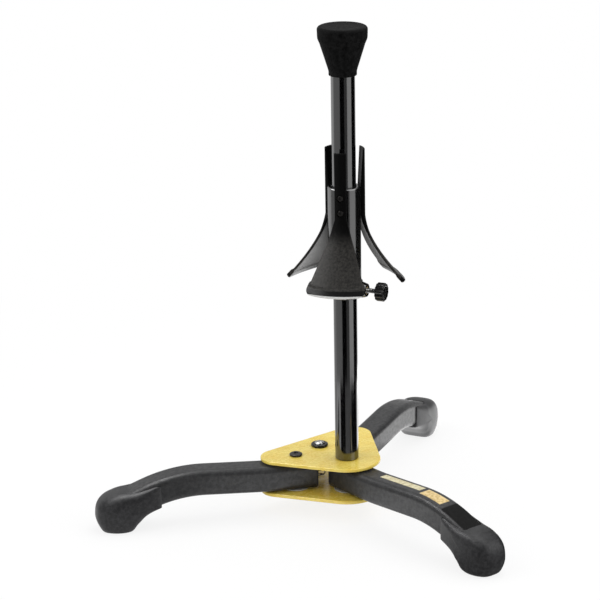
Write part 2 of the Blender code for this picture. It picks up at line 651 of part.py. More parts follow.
def build_front_fixings():
    """Bolt up through the hub into the pole's plug, and the screw that keeps the front leg straight."""
    build_stack("front", 0.0, 0.0, POLE_BOLT_D)
    head_top = LOWER_PLATE_UNDER_Z - GAP
    bolt = hexagon("pole_bolt", POLE_BOLT_AF, head_top - POLE_BOLT_HEAD_T, head_top,
                   "black_oxide_steel", stand)
    shank = cylinder("pole_bolt_shank", POLE_BOLT_D, head_top - MM, POLE_FOOT_Z + POLE_BOLT_GRIP, sides=20)
    boolean(bolt, cutter("pole_bolt_shank", shank, stand), "UNION")
    r = LEG_SCREW_D / 2
    head = 1.8 * MM
    tip = LOWER_PLATE_TOP_Z + WASHER_SPACE + LEG_WALL + 4 * MM
    shape = [(0.0, tip), (r, tip - 2 * MM), (r, head_top), (2 * r, head_top),
             (2 * r, head_top - 0.6 * MM), (1.3 * r, head_top - head), (0.0, head_top - head)]
    turned("front_leg_screw", shape, "black_oxide_steel", stand, 16, location=(0, LEG_SCREW_Y, 0))


# Lock button with its bezel and spring
def build_lock():
    bezel_bore = clear_hole(LOCK_CAP_D) / 2
    neck_r = bezel_bore + LOCK_NECK_WALL
    rim_r = LOCK_BEZEL_D / 2
    top = PLATE_TOP_Z + GAP + LOCK_BEZEL_T
    neck_low = PLATE_UNDER_Z - GAP
    turned("lock_bezel", [(bezel_bore, top), (rim_r - 0.7 * MM, top), (rim_r, top - 0.7 * MM),
                          (rim_r, PLATE_TOP_Z + GAP), (neck_r, PLATE_TOP_Z + GAP), (neck_r, neck_low),
                          (bezel_bore, neck_low)], "black_nylon", lock_axis, closed=True)
    cap_r = LOCK_CAP_D / 2
    cap_top = top + LOCK_CAP_PROUD
    flange_top = neck_low - GAP
    flange_low = flange_top - LOCK_FLANGE_T
    flange_r = LOCK_FLANGE_D / 2
    pin_r = LOCK_PIN_D / 2
    pin_low = LOWER_PLATE_TOP_Z + LOCK_TRAVEL + 3 * MM
    crown = 1.2 * MM
    dome = [(cap_r * math.sin(a), cap_top - crown * (1 - math.cos(a)))
            for a in np.linspace(0, math.pi / 2, 5)]
    turned("lock_button", dome + [(cap_r, flange_top), (flange_r, flange_top), (flange_r, flange_low),
                                  (pin_r, flange_low), (pin_r, pin_low), (0.0, pin_low)],
           "zinc_steel", lock_axis)
    low = LOWER_PLATE_TOP_Z + GAP + SPRING_WIRE_D / 2
    high = flange_low - GAP - SPRING_WIRE_D / 2
    coil_r = (SPRING_D - SPRING_WIRE_D) / 2
    per_turn = 10
    count = SPRING_TURNS * per_turn + 1
    step = 2 * math.pi / per_turn
    points = [(coil_r * math.cos(step * k), coil_r * math.sin(step * k), low + (high - low) * k / (count - 1))
              for k in range(count)]
    wire = poly_curve("lock_spring_wire", points)
    wire.data.bevel_depth = SPRING_WIRE_D / 2
    wire.data.bevel_resolution = 1
    wire.data.use_fill_caps = True
    piece("lock_spring", evaluated_mesh(wire, "lock_spring"), "zinc_steel", lock_axis)
    print("spring gap between turns mm", round((high - low) / SPRING_TURNS / MM - SPRING_WIRE_D / MM, 2))


# Bell peg: sleeve on the pole, three flared fins and the clamp screw
def build_sleeve():
    """Sleeve with its collar and clamp boss, bored for the pole and grooved for the three bars."""
    edge = 0.8 * MM
    collar_top = SLEEVE_BOTTOM_Z + COLLAR_H
    sleeve = turned("peg_sleeve", [(SLEEVE_BORE_R, SLEEVE_TOP_Z), (SLEEVE_R - edge, SLEEVE_TOP_Z),
                                   (SLEEVE_R, SLEEVE_TOP_Z - edge), (SLEEVE_R, collar_top + COLLAR_STEP),
                                   (COLLAR_R, collar_top), (COLLAR_R, SLEEVE_BOTTOM_Z + edge),
                                   (COLLAR_R - edge, SLEEVE_BOTTOM_Z), (SLEEVE_BORE_R, SLEEVE_BOTTOM_Z)],
                    "black_nylon", peg_axis, 32, closed=True)
    boss = bpy.data.meshes.new("clamp_boss")
    bm = bmesh.new()
    root = SLEEVE_BORE_R + 0.6 * MM
    bmesh.ops.create_cone(bm, cap_ends=True, segments=24, radius1=BOSS_ROOT_D / 2, radius2=BOSS_TIP_D / 2,
                          depth=BOSS_TIP_R - root)
    bmesh.ops.translate(bm, verts=bm.verts, vec=(0, 0, (BOSS_TIP_R + root) / 2))
    bm.to_mesh(boss)
    bm.free()
    boolean(sleeve, cutter("clamp_boss", boss, clamp_axis), "UNION")
    pole_bore = cylinder("sleeve_bore", 2 * SLEEVE_BORE_R, SLEEVE_BOTTOM_Z - 9 * MM, SLEEVE_TOP_Z + MM,
                         sides=32)
    boolean(sleeve, cutter("sleeve_bore", pole_bore, peg_axis))
    pad_bore = cylinder("pad_bore", clear_hole(PAD_D), 2 * MM, BOSS_TIP_R + MM, sides=20)
    boolean(sleeve, cutter("pad_bore", pad_bore, clamp_axis))
    insert_low = BOSS_TIP_R - INSERT_L - 2 * GAP
    insert_bore = cylinder("insert_bore", clear_hole(INSERT_D), insert_low, BOSS_TIP_R + MM, sides=20)
    boolean(sleeve, cutter("insert_bore", insert_bore, clamp_axis))
    groove_w = clear_hole(FIN_BAR_W)
    for name, azimuth in FIN_AZIMUTHS.items():
        groove = box(f"{name}_groove", (FIN_SEAT_R, -groove_w / 2, FIN_FLARE_Z - 4 * MM),
                     (FIN_R, groove_w / 2, SLEEVE_TOP_Z + MM))
        boolean(sleeve, cutter(f"{name}_groove", groove, peg_axis, rotation=(0, 0, azimuth)))
        for k, z in enumerate(FIN_SCREW_Z):
            pilot = cylinder(f"{name}_pilot_{k}", clear_hole(FIN_SCREW_D), SLEEVE_BORE_R - 2 * MM, FIN_R,
                             sides=12)
            outwards = (0, math.pi / 2, azimuth)
            boolean(sleeve, cutter(f"{name}_pilot_{k}", pilot, peg_axis, (0, 0, z), outwards))


def fin_radius(z):
    """Outer face of a fin from the pole's axis: upright, then flaring out below the bar."""
    u = max(0.0, (FIN_FLARE_Z - z) / (FIN_FLARE_Z - FIN_BOTTOM_Z))
    return FIN_R + FIN_FLARE * u ** FIN_FLARE_POWER


def fin_half_width(z):
    u = max(0.0, (FIN_FLARE_Z - z) / (FIN_FLARE_Z - FIN_BOTTOM_Z))
    return (FIN_BAR_W + (FIN_FOOT_W - FIN_BAR_W) * u) / 2


def fin_crown_radius(z):
    """The crown opens from the sleeve's curve at the bar to a flatter one at the foot."""
    u = max(0.0, (FIN_FLARE_Z - z) / (FIN_FLARE_Z - FIN_BOTTOM_Z))
    return FIN_R + (FIN_CROWN_R - FIN_R) * u


def fin_mesh(name):
    """The outer face as an open sheet: crowned across, with a bowed foot and rounded corners."""
    upright = [FIN_TOP_Z, SLEEVE_TOP_Z + FIN_FINGER_L / 2, SLEEVE_TOP_Z, FIN_FLARE_Z]
    heights = upright + list(np.linspace(FIN_FLARE_Z, FIN_BOTTOM_Z, 10)[1:])
    across = np.array([-1.0, -0.9, -0.6, -0.3, 0.0, 0.3, 0.6, 0.9, 1.0])
    grid = np.zeros((len(heights), len(across), 3))
    corner_share = 2 * FIN_CORNER_R / FIN_FOOT_W
    for i, z in enumerate(heights):
        share = max(0.0, (FIN_FLARE_Z - z) / (FIN_FLARE_Z - FIN_BOTTOM_Z))
        for j, u in enumerate(across):
            beyond = max(0.0, abs(u) - (1 - corner_share)) / corner_share
            corner = FIN_CORNER_R * (1 - math.sqrt(1 - min(beyond, 1.0) ** 2))
            level = z + (corner * share ** 4 + FIN_FOOT_BOW * u * u * share ** 2)
            crown_r = fin_crown_radius(level)
            turn_by = u * fin_half_width(level) / crown_r
            out = fin_radius(level) - crown_r * (1 - math.cos(turn_by))
            grid[i, j] = (out, crown_r * math.sin(turn_by), level)
    return grid_mesh(name, grid), heights, len(across)


def build_fins():
    for name, azimuth in FIN_AZIMUTHS.items():
        mesh, heights, columns = fin_mesh(name)
        obj = piece(name, smooth(mesh), "black_nylon", peg_axis, rotation=(0, 0, azimuth))
        group = obj.vertex_groups.new(name="thickness")
        for i, z in enumerate(heights):
            rise = (z - SLEEVE_TOP_Z) / (FIN_TOP_Z - SLEEVE_TOP_Z)
            share = 1.0 - (1.0 - FIN_TIP_T / FIN_T) * min(max(rise, 0.0), 1.0)
            group.add(list(range(i * columns, (i + 1) * columns)), share, "REPLACE")
        sheet = obj.modifiers.new("sheet", "SOLIDIFY")
        sheet.thickness = FIN_T
        sheet.offset = -1.0
        sheet.use_even_offset = True
        sheet.vertex_group = group.name
        for k, z in enumerate(FIN_SCREW_Z):
            head_seat = FIN_R - FIN_SCREW_HEAD_T - GAP
            sink = cylinder(f"{name}_sink_{k}", clear_hole(FIN_SCREW_HEAD_D), head_seat, FIN_R + MM, sides=14)
            hole = cylinder(f"{name}_hole_{k}", clear_hole(FIN_SCREW_D), FIN_SEAT_R - 2 * MM, FIN_R + MM,
                            sides=12)
            outwards = (0, math.pi / 2, azimuth)
            for tag, tool in (("sink", sink), ("hole", hole)):
                boolean(obj, cutter(f"{name}_{tag}_{k}", tool, peg_axis, (0, 0, z), outwards))
            build_fin_screw(f"{name}_screw_{k + 1}", z, azimuth)


def build_fin_screw(name, z, azimuth):
    """A small pan-head screw, along +Z before it is turned to point out of the sleeve."""
    head_top = FIN_R - GAP
    head_low = head_top - FIN_SCREW_HEAD_T
    r = FIN_SCREW_D / 2
    tip = SLEEVE_BORE_R + GAP
    head_r = FIN_SCREW_HEAD_D / 2
    edge = 0.5 * MM
    points = [(0.0, head_top), (head_r - edge, head_top), (head_r, head_top - edge), (head_r, head_low),
              (r, head_low), (r, tip + 0.6 * MM), (0.0, tip)]
    turned(name, points, "black_oxide_steel", peg_axis, 10, location=(0, 0, z),
           rotation=(0, math.pi / 2, azimuth))


def build_clamp():
    """Pad, stud, threaded insert and fluted knob, all along the clamp's axis."""
    pad_low = POLE_R + GAP
    pad_top = pad_low + PAD_T
    turned("clamp_pad", [(0.0, pad_top), (PAD_D / 2, pad_top), (PAD_D / 2, pad_low + 0.4 * MM),
                         (PAD_D / 2 - 0.4 * MM, pad_low), (0.0, pad_low)], "brass", clamp_axis, 20)
    insert_low = BOSS_TIP_R - INSERT_L - GAP
    ring("clamp_insert", INSERT_D, clear_hole(STUD_D), insert_low, BOSS_TIP_R - GAP, "brass", clamp_axis)
    knob_low = KNOB_FACE_R - KNOB_L
    socket_depth = KNOB_L - KNOB_CAP_T
    stud_low = pad_top + GAP
    stud_top = knob_low + socket_depth - GAP
    turned("clamp_stud", [(0.0, stud_top), (STUD_D / 2, stud_top), (STUD_D / 2, stud_low + 0.5 * MM),
                          (STUD_D / 2 - 0.5 * MM, stud_low), (0.0, stud_low)], "zinc_steel", clamp_axis, 20)
    around = np.linspace(0, 2 * math.pi, 4 * KNOB_FLUTES, endpoint=False)
    radius = KNOB_D / 2 - KNOB_FLUTE_DEPTH * (1 + np.cos(KNOB_FLUTES * around)) / 2
    outline = np.column_stack((radius * np.cos(around), radius * np.sin(around)))
    mesh = flat_outline("clamp_knob", outline, knob_low, KNOB_FACE_R)
    knob = piece("clamp_knob", mesh, "black_nylon", clamp_axis)
    bevel(knob, 0.5 * MM, segments=1, angle=math.radians(70))
    bore = cylinder("knob_bore", clear_hole(STUD_D), knob_low - MM, knob_low + socket_depth, sides=20)
    boolean(knob, cutter("knob_bore", bore, clamp_axis))


def centre_on_footprint():
    """Shift the whole stand so that the origin is under the middle of its bounding box."""
    bpy.context.view_layer.update()
    graph = bpy.context.evaluated_depsgraph_get()
    corners = []
    for obj in PARTS.objects:
        if obj.type != "MESH":
            continue
        shape = obj.evaluated_get(graph)
        mesh = shape.to_mesh()
        points = np.empty(3 * len(mesh.vertices))
        mesh.vertices.foreach_get("co", points)
        matrix = np.array(shape.matrix_world)
        world = points.reshape(-1, 3) @ matrix[:3, :3].T + matrix[:3, 3]
        corners += [world.min(axis=0), world.max(axis=0)]
        shape.to_mesh_clear()
    low = np.min(corners, axis=0)
    high = np.max(corners, axis=0)
    stand.location = Vector((-(low[0] + high[0]) / 2, -(low[1] + high[1]) / 2, -low[2]))
    bpy.context.view_layer.update()
    print("pole axis at", [round(v / MM, 3) for v in stand.location], "size mm",
          [round(v / MM, 2) for v in high - low])


build_pole()
build_head()
build_plates()
build_legs()
build_pivot("left", -PIVOT_X, PIVOT_Y)
build_pivot("right", PIVOT_X, PIVOT_Y)
build_front_fixings()
build_lock()
build_sleeve()
build_fins()
build_clamp()
centre_on_footprint()
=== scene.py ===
# %% [markdown]
# # A soprano saxophone stand
# The stand is a folding tripod of bent box tube, with a thin black pole, a rubber head on top and a peg
# with three flared fins that holds the instrument by its bell. The construction is already packed as a
# fixed frame: every sub-part is in its place and every joint is known. This lesson gives each piece its
# fine surface and its finish, and never moves or resizes what the frame says.

# %% Load the frame
import json
import math

import bmesh
import bpy
import numpy as np
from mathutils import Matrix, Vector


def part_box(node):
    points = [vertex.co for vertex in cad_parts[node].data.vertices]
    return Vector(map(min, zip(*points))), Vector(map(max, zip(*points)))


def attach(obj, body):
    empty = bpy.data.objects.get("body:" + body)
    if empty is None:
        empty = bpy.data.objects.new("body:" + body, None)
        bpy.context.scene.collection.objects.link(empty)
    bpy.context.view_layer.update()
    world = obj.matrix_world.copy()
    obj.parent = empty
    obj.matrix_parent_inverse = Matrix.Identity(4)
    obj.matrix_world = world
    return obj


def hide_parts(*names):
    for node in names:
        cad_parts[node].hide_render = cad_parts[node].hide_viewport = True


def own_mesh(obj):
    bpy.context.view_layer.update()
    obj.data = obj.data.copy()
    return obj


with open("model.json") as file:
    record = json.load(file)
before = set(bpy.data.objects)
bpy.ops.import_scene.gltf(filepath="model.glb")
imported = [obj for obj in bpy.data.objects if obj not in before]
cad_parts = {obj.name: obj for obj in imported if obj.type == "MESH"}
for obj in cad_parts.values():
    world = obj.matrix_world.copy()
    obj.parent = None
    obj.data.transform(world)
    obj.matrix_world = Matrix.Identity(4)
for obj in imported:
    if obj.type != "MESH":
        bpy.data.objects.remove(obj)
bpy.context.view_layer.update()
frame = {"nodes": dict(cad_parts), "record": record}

BODY_OF = {node: body for body, nodes in frame["record"]["behaviour"]["bodies"].items() for node in nodes}
MM = 0.001

# %% [markdown]
# ## Reading sizes from the frame
# Every node's box is known, so main sizes are read from it instead of being typed again: the pole's
# radius, the heights of the plates, the ends of the sleeve. What a box can't say, such as a wall or a
# corner radius, stands in the cell of its piece, in millimetres. All plan measures start at the pole's
# axis, and all heights at the floor.

# %% Boxes and the pole's axis
def low(node):
    return np.array(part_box(node)[0])


def high(node):
    return np.array(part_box(node)[1])


AXIS = (low("pole") + high("pole")) / 2 * (1, 1, 0)
POLE_R = (high("pole") - low("pole"))[0] / 2 / MM
print("pole axis", AXIS.round(4), "pole radius mm", round(POLE_R, 2))

# %% [markdown]
# ## Rounded outlines
# Nearly every piece here is a flat outline, turned or carried along a path. What makes such a piece look
# made and not drawn is that no edge is sharp, so one function rounds all the corners of an outline at
# once. A short shoulder beyond each arc keeps the flat faces flat when they are shaded smooth.

# %% Round every corner of an outline
SHOULDER = 0.06
LARGEST_SHARE = 0.46


def rounded(points, radii, steps=6, closed=False):
    """Turns each corner into an arc. With A and B where the arc meets the two sides, P the corner and w
    the sine of half its angle, a point of the arc is
    ((1-t)^2 A + 2 w t (1-t) P + t^2 B) / ((1-t)^2 + 2 w t (1-t) + t^2), with t from 0 to 1. No arc takes
    more than the largest share of a side."""
    corner = np.asarray(points, float)
    back = np.roll(corner, 1, axis=0) - corner
    ahead = np.roll(corner, -1, axis=0) - corner
    back_length = np.linalg.norm(back, axis=1, keepdims=True)
    ahead_length = np.linalg.norm(ahead, axis=1, keepdims=True)
    back = back / np.maximum(back_length, 1e-12)
    ahead = ahead / np.maximum(ahead_length, 1e-12)
    half = np.arccos(np.clip((back * ahead).sum(axis=1, keepdims=True), -1, 1)) / 2
    radius = np.broadcast_to(np.asarray(radii, float), len(corner))[:, None]
    room = LARGEST_SHARE * np.minimum(back_length, ahead_length)
    reach = np.minimum(radius / np.maximum(np.tan(half), 1e-9), room)
    a, b = corner + back * reach, corner + ahead * reach
    w = np.sin(half)[:, None]
    t = np.linspace(0, 1, steps + 1)[None, :, None]
    arc = (1 - t) ** 2 * a[:, None] + 2 * w * t * (1 - t) * corner[:, None] + t ** 2 * b[:, None]
    arc = arc / ((1 - t) ** 2 + 2 * w * t * (1 - t) + t ** 2)
    before = (a + back * reach * SHOULDER)[:, None]
    after = (b + ahead * reach * SHOULDER)[:, None]
    rows = np.concatenate((before, arc, after), axis=1)
    if closed:
        return rows.reshape(-1, corner.shape[1])
    return np.concatenate((corner[:1], rows[1:-1].reshape(-1, corner.shape[1]), corner[-1:]))


print("a rounded square has", len(rounded([(0, 0), (1, 0), (1, 1), (0, 1)], 0.2, closed=True)), "points")

# %% [markdown]
# ## Surfaces from grids
# A surface is a grid of points with quads between neighbours. It may close on itself in either direction:
# a turned piece closes round its axis, and a tube wall closes both ways. Grids and flat caps are welded
# into one closed mesh, and the faces are turned to point outwards.

# %% Grids, caps and solids
SHARP_DEG = 34


def patch(grid, wrap_rows=False, wrap_columns=True):
    """Quads between neighbouring points of a grid of rows by columns."""
    rows, columns = grid.shape[:2]
    i = np.arange(rows if wrap_rows else rows - 1)[:, None]
    j = np.arange(columns if wrap_columns else columns - 1)[None, :]
    next_i, next_j = (i + 1) % rows, (j + 1) % columns
    quads = np.stack(np.broadcast_arrays(i * columns + j, i * columns + next_j,
                                         next_i * columns + next_j, next_i * columns + j), axis=-1)
    return grid.reshape(-1, 3), quads.reshape(-1, 4).tolist()


def cap(loop):
    """One flat face across a closed loop of points."""
    return np.asarray(loop), [list(range(len(loop)))]


def solid(name, *patches, sharp=SHARP_DEG):
    """Patches welded into one closed mesh, at the origin, with edges over sharp degrees kept crisp."""
    starts = np.cumsum([0] + [len(points) for points, _ in patches])
    faces = [[int(start) + k for k in face] for start, (_, quads) in zip(starts, patches) for face in quads]
    mesh = bpy.data.meshes.new(name)
    mesh.from_pydata(np.concatenate([points for points, _ in patches]).tolist(), [], faces)
    shape = bmesh.new()
    shape.from_mesh(mesh)
    bmesh.ops.remove_doubles(shape, verts=shape.verts, dist=0.0008 * MM)
    bmesh.ops.recalc_face_normals(shape, faces=shape.faces)
    shape.to_mesh(mesh)
    shape.free()
    mesh.shade_smooth()
    mesh.set_sharp_from_angle(angle=math.radians(sharp))
    made = bpy.data.objects.new(name, mesh)
    bpy.context.scene.collection.objects.link(made)
    return made


# %% [markdown]
# ## Turning
# A lathe is the simplest surface of two parameters: how far along the profile, and how far round. Letting
# the radius also depend on the angle turns the same function into hexagons, cross recesses, flutes and
# screw threads, so bolts and knobs need no cutting.

# %% The lathe and its variations
def lathe(profile, steps=96, form=None):
    """Each profile point (r, z) goes to (r cos a, r sin a, z) for a from 0 to a full turn. A form may
    change radius and height first, as a function of radius, angle and height."""
    angle = np.linspace(0, 2 * np.pi, steps, endpoint=False)[None, :]
    radius, height = (np.repeat(column[:, None], steps, axis=1) for column in np.asarray(profile).T)
    if form:
        radius, height = form(radius, angle, height)
    return np.stack((radius * np.cos(angle), radius * np.sin(angle), height), axis=-1)


def hexagonal(angle):
    """Distance to the side of a hexagon whose sides lie at distance 1, by angle."""
    return 1 / np.cos(angle % (np.pi / 3) - np.pi / 6)


def crossed(angle, arm=1.0, width=0.3):
    """Distance to the edge of a plus sign with arms of this length and half width, by angle."""
    fold = np.abs((angle + np.pi / 4) % (np.pi / 2) - np.pi / 4)
    return np.minimum(arm / np.cos(fold), width / np.maximum(np.sin(fold), 1e-6))


def threaded(z_low, z_high, pitch, depth):
    """A screw thread: between two heights, past a short run-in, the radius drops by a triangle wave that
    climbs one pitch in each turn."""
    def form(radius, angle, height):
        wave = np.abs(((height - z_low) / pitch - angle / (2 * np.pi)) % 1.0 * 2 - 1)
        fade = np.clip(np.minimum(height - z_low, z_high - height) / pitch, 0, 1)
        return radius - depth * (1 - wave) * fade, height
    return form


def spun(degrees):
    """The matrix that turns rows of points about +Z."""
    a = math.radians(degrees)
    return np.array([[math.cos(a), math.sin(a), 0], [-math.sin(a), math.cos(a), 0], [0, 0, 1]])


def frame_of(origin, direction):
    """Turns points about +Z into points about another axis through an origin, +X staying level."""
    z = np.asarray(direction, float) / np.linalg.norm(direction)
    x = np.cross((0, 0, 1), z) if abs(z[2]) < 0.99 else np.array([1.0, 0.0, 0.0])
    x = x / np.linalg.norm(x)
    turn = np.array([x, np.cross(z, x), z])
    return lambda grid: grid @ turn + np.asarray(origin)


def upright(origin):
    """Moves points about +Z to an upright axis through a point in plan."""
    return lambda grid: grid + np.asarray(origin)


# %% [markdown]
# ## Carrying a section along a path
# Box tube, wire and rims are sections carried along a path. At each point of the path the section stands
# square to it, with one side kept in a given direction, so that a tube bent in its upright plane doesn't
# twist.

# %% The sweep
def carry(path, section, side):
    """Path point + a x side + b x upward for each section point (a, b), where upward is square to the
    path and to side. The section may differ from row to row."""
    ahead = np.gradient(path, axis=0)
    ahead = ahead / np.linalg.norm(ahead, axis=1, keepdims=True)
    side = np.broadcast_to(np.asarray(side, float), ahead.shape)
    upward = np.cross(ahead, side)
    upward = upward / np.linalg.norm(upward, axis=1, keepdims=True)
    section = np.broadcast_to(section, (len(path),) + np.shape(section)[-2:])
    return path[:, None] + section[..., :1] * side[:, None] + section[..., 1:] * upward[:, None]


# %% [markdown]
# ## Cutting and joining
# A few pieces are easiest as a simple solid with another taken away, such as a plate with drilled holes.
# The Boolean is worked out at once and kept as plain mesh, and the tool is thrown away.

# %% Booleans
def combine(piece, tool, operation="DIFFERENCE"):
    """Takes the tool away from the piece, or joins it on."""
    modifier = piece.modifiers.new("combine", "BOOLEAN")
    modifier.operation = operation
    modifier.object = tool
    bpy.context.view_layer.update()
    graph = bpy.context.evaluated_depsgraph_get()
    mesh = bpy.data.meshes.new_from_object(piece.evaluated_get(graph))
    piece.modifiers.clear()
    before = len(piece.data.polygons)
    piece.data = mesh
    mesh.shade_smooth()
    mesh.set_sharp_from_angle(angle=math.radians(SHARP_DEG))
    bpy.data.objects.remove(tool, do_unlink=True)
    print(piece.name, before, "faces before,", len(mesh.polygons), "after")
    return piece


def rod(radius, z_low, z_high, place, steps=48):
    """A plain closed cylinder with its sizes in millimetres, used as a drill."""
    profile = np.array([(0, z_high), (radius, z_high), (radius, z_low), (0, z_low)]) * MM
    return solid("drill", patch(place(lathe(profile, steps))))


# %% [markdown]
# ## Shader maths in plain Python
# A material is a set of formulas. Wrapping a shader socket in a small class lets them be written as
# Python expressions: every operator adds the Math node that does it. Any other node comes from one
# method of the tree, which sets the node first and then its sockets.

# %% Sockets that do sums
class Flow:
    """What comes out of a shader socket. Operators on it add Math nodes to its tree."""

    def __init__(self, tree, socket):
        self.tree, self.socket = tree, socket

    def other(self, name):
        """Another output of the same node."""
        return Flow(self.tree, self.socket.node.outputs[name])

    def sum_of(self, operation, *values):
        """A Math node for any operation."""
        return self.tree.node("ShaderNodeMath", {"operation": operation}, dict(enumerate(values)))

    def __add__(self, other):
        return self.sum_of("ADD", self, other)

    def __sub__(self, other):
        return self.sum_of("SUBTRACT", self, other)

    def __rsub__(self, other):
        return self.sum_of("SUBTRACT", other, self)

    def __mul__(self, other):
        return self.sum_of("MULTIPLY", self, other)

    def __abs__(self):
        return self.sum_of("ABSOLUTE", self)


class Tree:
    """The nodes of a world or a material, with methods that add to them."""

    def __init__(self, owner):
        owner.use_nodes = True
        self.nodes, self.links = owner.node_tree.nodes, owner.node_tree.links

    def node(self, kind, settings=None, sockets=None, out=0):
        """Adds a node, sets it, then fills its sockets with values or with what flows from others."""
        made = self.nodes.new(kind)
        for name, value in (settings or {}).items():
            setattr(made, name, value)
        for key, value in (sockets or {}).items():
            if isinstance(value, Flow):
                self.links.new(value.socket, made.inputs[key])
            else:
                made.inputs[key].default_value = value
        return Flow(self, made.outputs[out])

    def smooth(self, value, start, end, low_value=0.0, high_value=1.0):
        """Low before start, high after end, with a soft step between."""
        return self.node("ShaderNodeMapRange", {"interpolation_type": "SMOOTHSTEP"},
                         {0: value, 1: start, 2: end, 3: low_value, 4: high_value})

    def show(self, kind, flow):
        """Ends the tree with an output node."""
        self.links.new(flow.socket, self.nodes.new(kind).inputs["Surface"])


def empty_tree(owner):
    """The tree of a new world or material, emptied first."""
    tree = Tree(owner)
    tree.nodes.clear()
    return tree


def colour(r, g, b):
    """A colour as shader sockets take it."""
    return (r, g, b, 1.0)


# %% [markdown]
# A finish is one material on one kind of piece. What is the same all over goes straight onto the shader's
# own sockets; only colour, roughness and the surface's bumps vary. Patterns read object coordinates, so
# that they stay on the piece when it moves.

# %% Finishes
class Finish(Tree):
    """A Principled material with the record's slot that it belongs to."""

    def __init__(self, name, slot, **constants):
        self.slot, self.material = slot, bpy.data.materials.new(name)
        super().__init__(self.material)
        self.shader = self.nodes["Principled BSDF"]
        for socket, value in constants.items():
            self.shader.inputs[socket.replace("_", " ")].default_value = value
        self.place = self.node("ShaderNodeTexCoord", out="Object")

    def noise(self, size, detail=2.0, roughness=0.5):
        """Noise from 0 to 1 whose lumps are about size metres across."""
        return self.node("ShaderNodeTexNoise", None, {"Vector": self.place, "Scale": 1 / size,
                                                      "Detail": detail, "Roughness": roughness})

    def blend(self, share, first, second):
        """A colour between two: the first where share is 0 and the second where it is 1."""
        return self.node("ShaderNodeMix", {"data_type": "RGBA"}, {0: share, 6: first, 7: second}, out=2)

    def axes(self):
        """The three object coordinates as separate numbers."""
        split = self.node("ShaderNodeSeparateXYZ", None, {0: self.place})
        return [split.other(k) for k in range(3)]

    def set(self, socket, flow):
        """Lets a flow drive one of the shader's sockets."""
        self.links.new(flow.socket, self.shader.inputs[socket])
        return self

    def current(self, socket):
        """What drives one of the shader's sockets now."""
        return Flow(self, self.shader.inputs[socket].links[0].from_socket)

    def mottle(self, pattern, dark, light, low_gloss, high_gloss, start=0.3):
        """Lets colour and roughness follow a pattern: the first of each pair where it is low."""
        self.set("Base Color", self.blend(self.smooth(pattern, start, 0.7), colour(*dark), colour(*light)))
        return self.set("Roughness", self.smooth(pattern, 0.3, 0.7, low_gloss, high_gloss))

    def bumps(self, height, distance):
        """Small relief: the height runs from 0 to 1 and stands for distance metres."""
        return self.set("Normal", self.node("ShaderNodeBump", None, {"Height": height, "Strength": 1.0,
                                                                     "Distance": distance}))

    def attribute(self, name):
        """A number stored at the points of the piece."""
        return self.node("ShaderNodeAttribute", {"attribute_name": name}, out=2)


# %% [markdown]
# ## Standing in for the frame's nodes
# A fine piece replaces the plain node of the same part: it rides on the same body and takes its finish
# from the same slot. Its points are first drawn in, by a hair at most, so that it stays inside the box of
# its node: facets of the plain model cut a little off every curve.

# %% Fit and dress
def inside(grid, node):
    """Along each axis the points' own range is squeezed to the part of it that lies in the node's box."""
    points = grid.reshape(-1, 3)
    first, last = points.min(axis=0), points.max(axis=0)
    start, end = np.maximum(first, low(node)), np.minimum(last, high(node))
    return start + (grid - first) * (end - start) / (last - first)


def stand_in(piece, node, finish, *others):
    """Dresses a piece, hangs it on its node's body and lets it stand for the node."""
    piece.data.materials.clear()
    piece.data.materials.append(finish.material)
    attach(piece, BODY_OF[node])
    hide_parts(node, *others)
    print(piece.name, len(piece.data.polygons), "faces, rides on", BODY_OF[node])
    return piece

# %% [markdown]
# ## The camera
# The camera is set before anything is made. It stands where a fit to the pole, the hub and the feet put
# it: a long lens from a little over a metre and a half, looking down at eighteen degrees.

# %% Camera
def look(turn_deg, distance, height, pitch, yaw, roll, lens):
    """A camera that stands at a distance and height before the pole. Before the turn, forward is
    (sin yaw cos pitch, cos yaw cos pitch, -sin pitch), and roll turns the picture about it."""
    forward = np.array([math.sin(yaw) * math.cos(pitch), math.cos(yaw) * math.cos(pitch), -math.sin(pitch)])
    right = np.array([math.cos(yaw), -math.sin(yaw), 0.0])
    up = np.cross(right, forward)
    columns = (math.cos(roll) * right - math.sin(roll) * up, math.sin(roll) * right + math.cos(roll) * up,
               -forward)
    spin = spun(turn_deg).T
    matrix = np.eye(4)
    matrix[:3, :3] = spin @ np.stack(columns, axis=1)
    matrix[:3, 3] = spin @ (0, -distance, height) + AXIS
    camera = bpy.data.objects.new("camera", bpy.data.cameras.new("camera"))
    camera.data.sensor_width, camera.data.lens = 36.0, lens
    camera.data.clip_start, camera.data.clip_end = 0.05, 30.0
    camera.matrix_world = matrix.T.tolist()
    bpy.context.scene.collection.objects.link(camera)
    bpy.context.scene.camera = camera
    return camera


camera = look(turn_deg=-40.0, distance=1.600, height=0.669, pitch=0.312, yaw=-0.019, roll=0.017,
              lens=150.12)
print("camera at", [round(x, 4) for x in camera.matrix_world.translation])

# %% [markdown]
# ## The studio
# The stand was photographed on white. A pale floor catches its shadow, and the camera sees most of the
# floor's light as plain white, so that the shadow stays soft. The world is white to the camera and in
# reflections, and dimmer where it only lights, so that with the lamps a colour looks as it is written.

# %% Floor and world
def seen_directly(tree):
    """1 where a camera, mirror or glass ray asks, and 0 for rays that only carry light."""
    ray = tree.node("ShaderNodeLightPath", out="Is Camera Ray")
    mirrored = ray.sum_of("MAXIMUM", ray, ray.other("Is Glossy Ray"))
    return ray.sum_of("MAXIMUM", mirrored, ray.other("Is Transmission Ray"))


WORLD_LIGHT = 0.55
PAPER_SHADE = 0.92
FLOOR_WHITE = 0.84
FADE_START, FADE_END = 0.22, 0.60
FLOOR_Z = -0.1 * MM

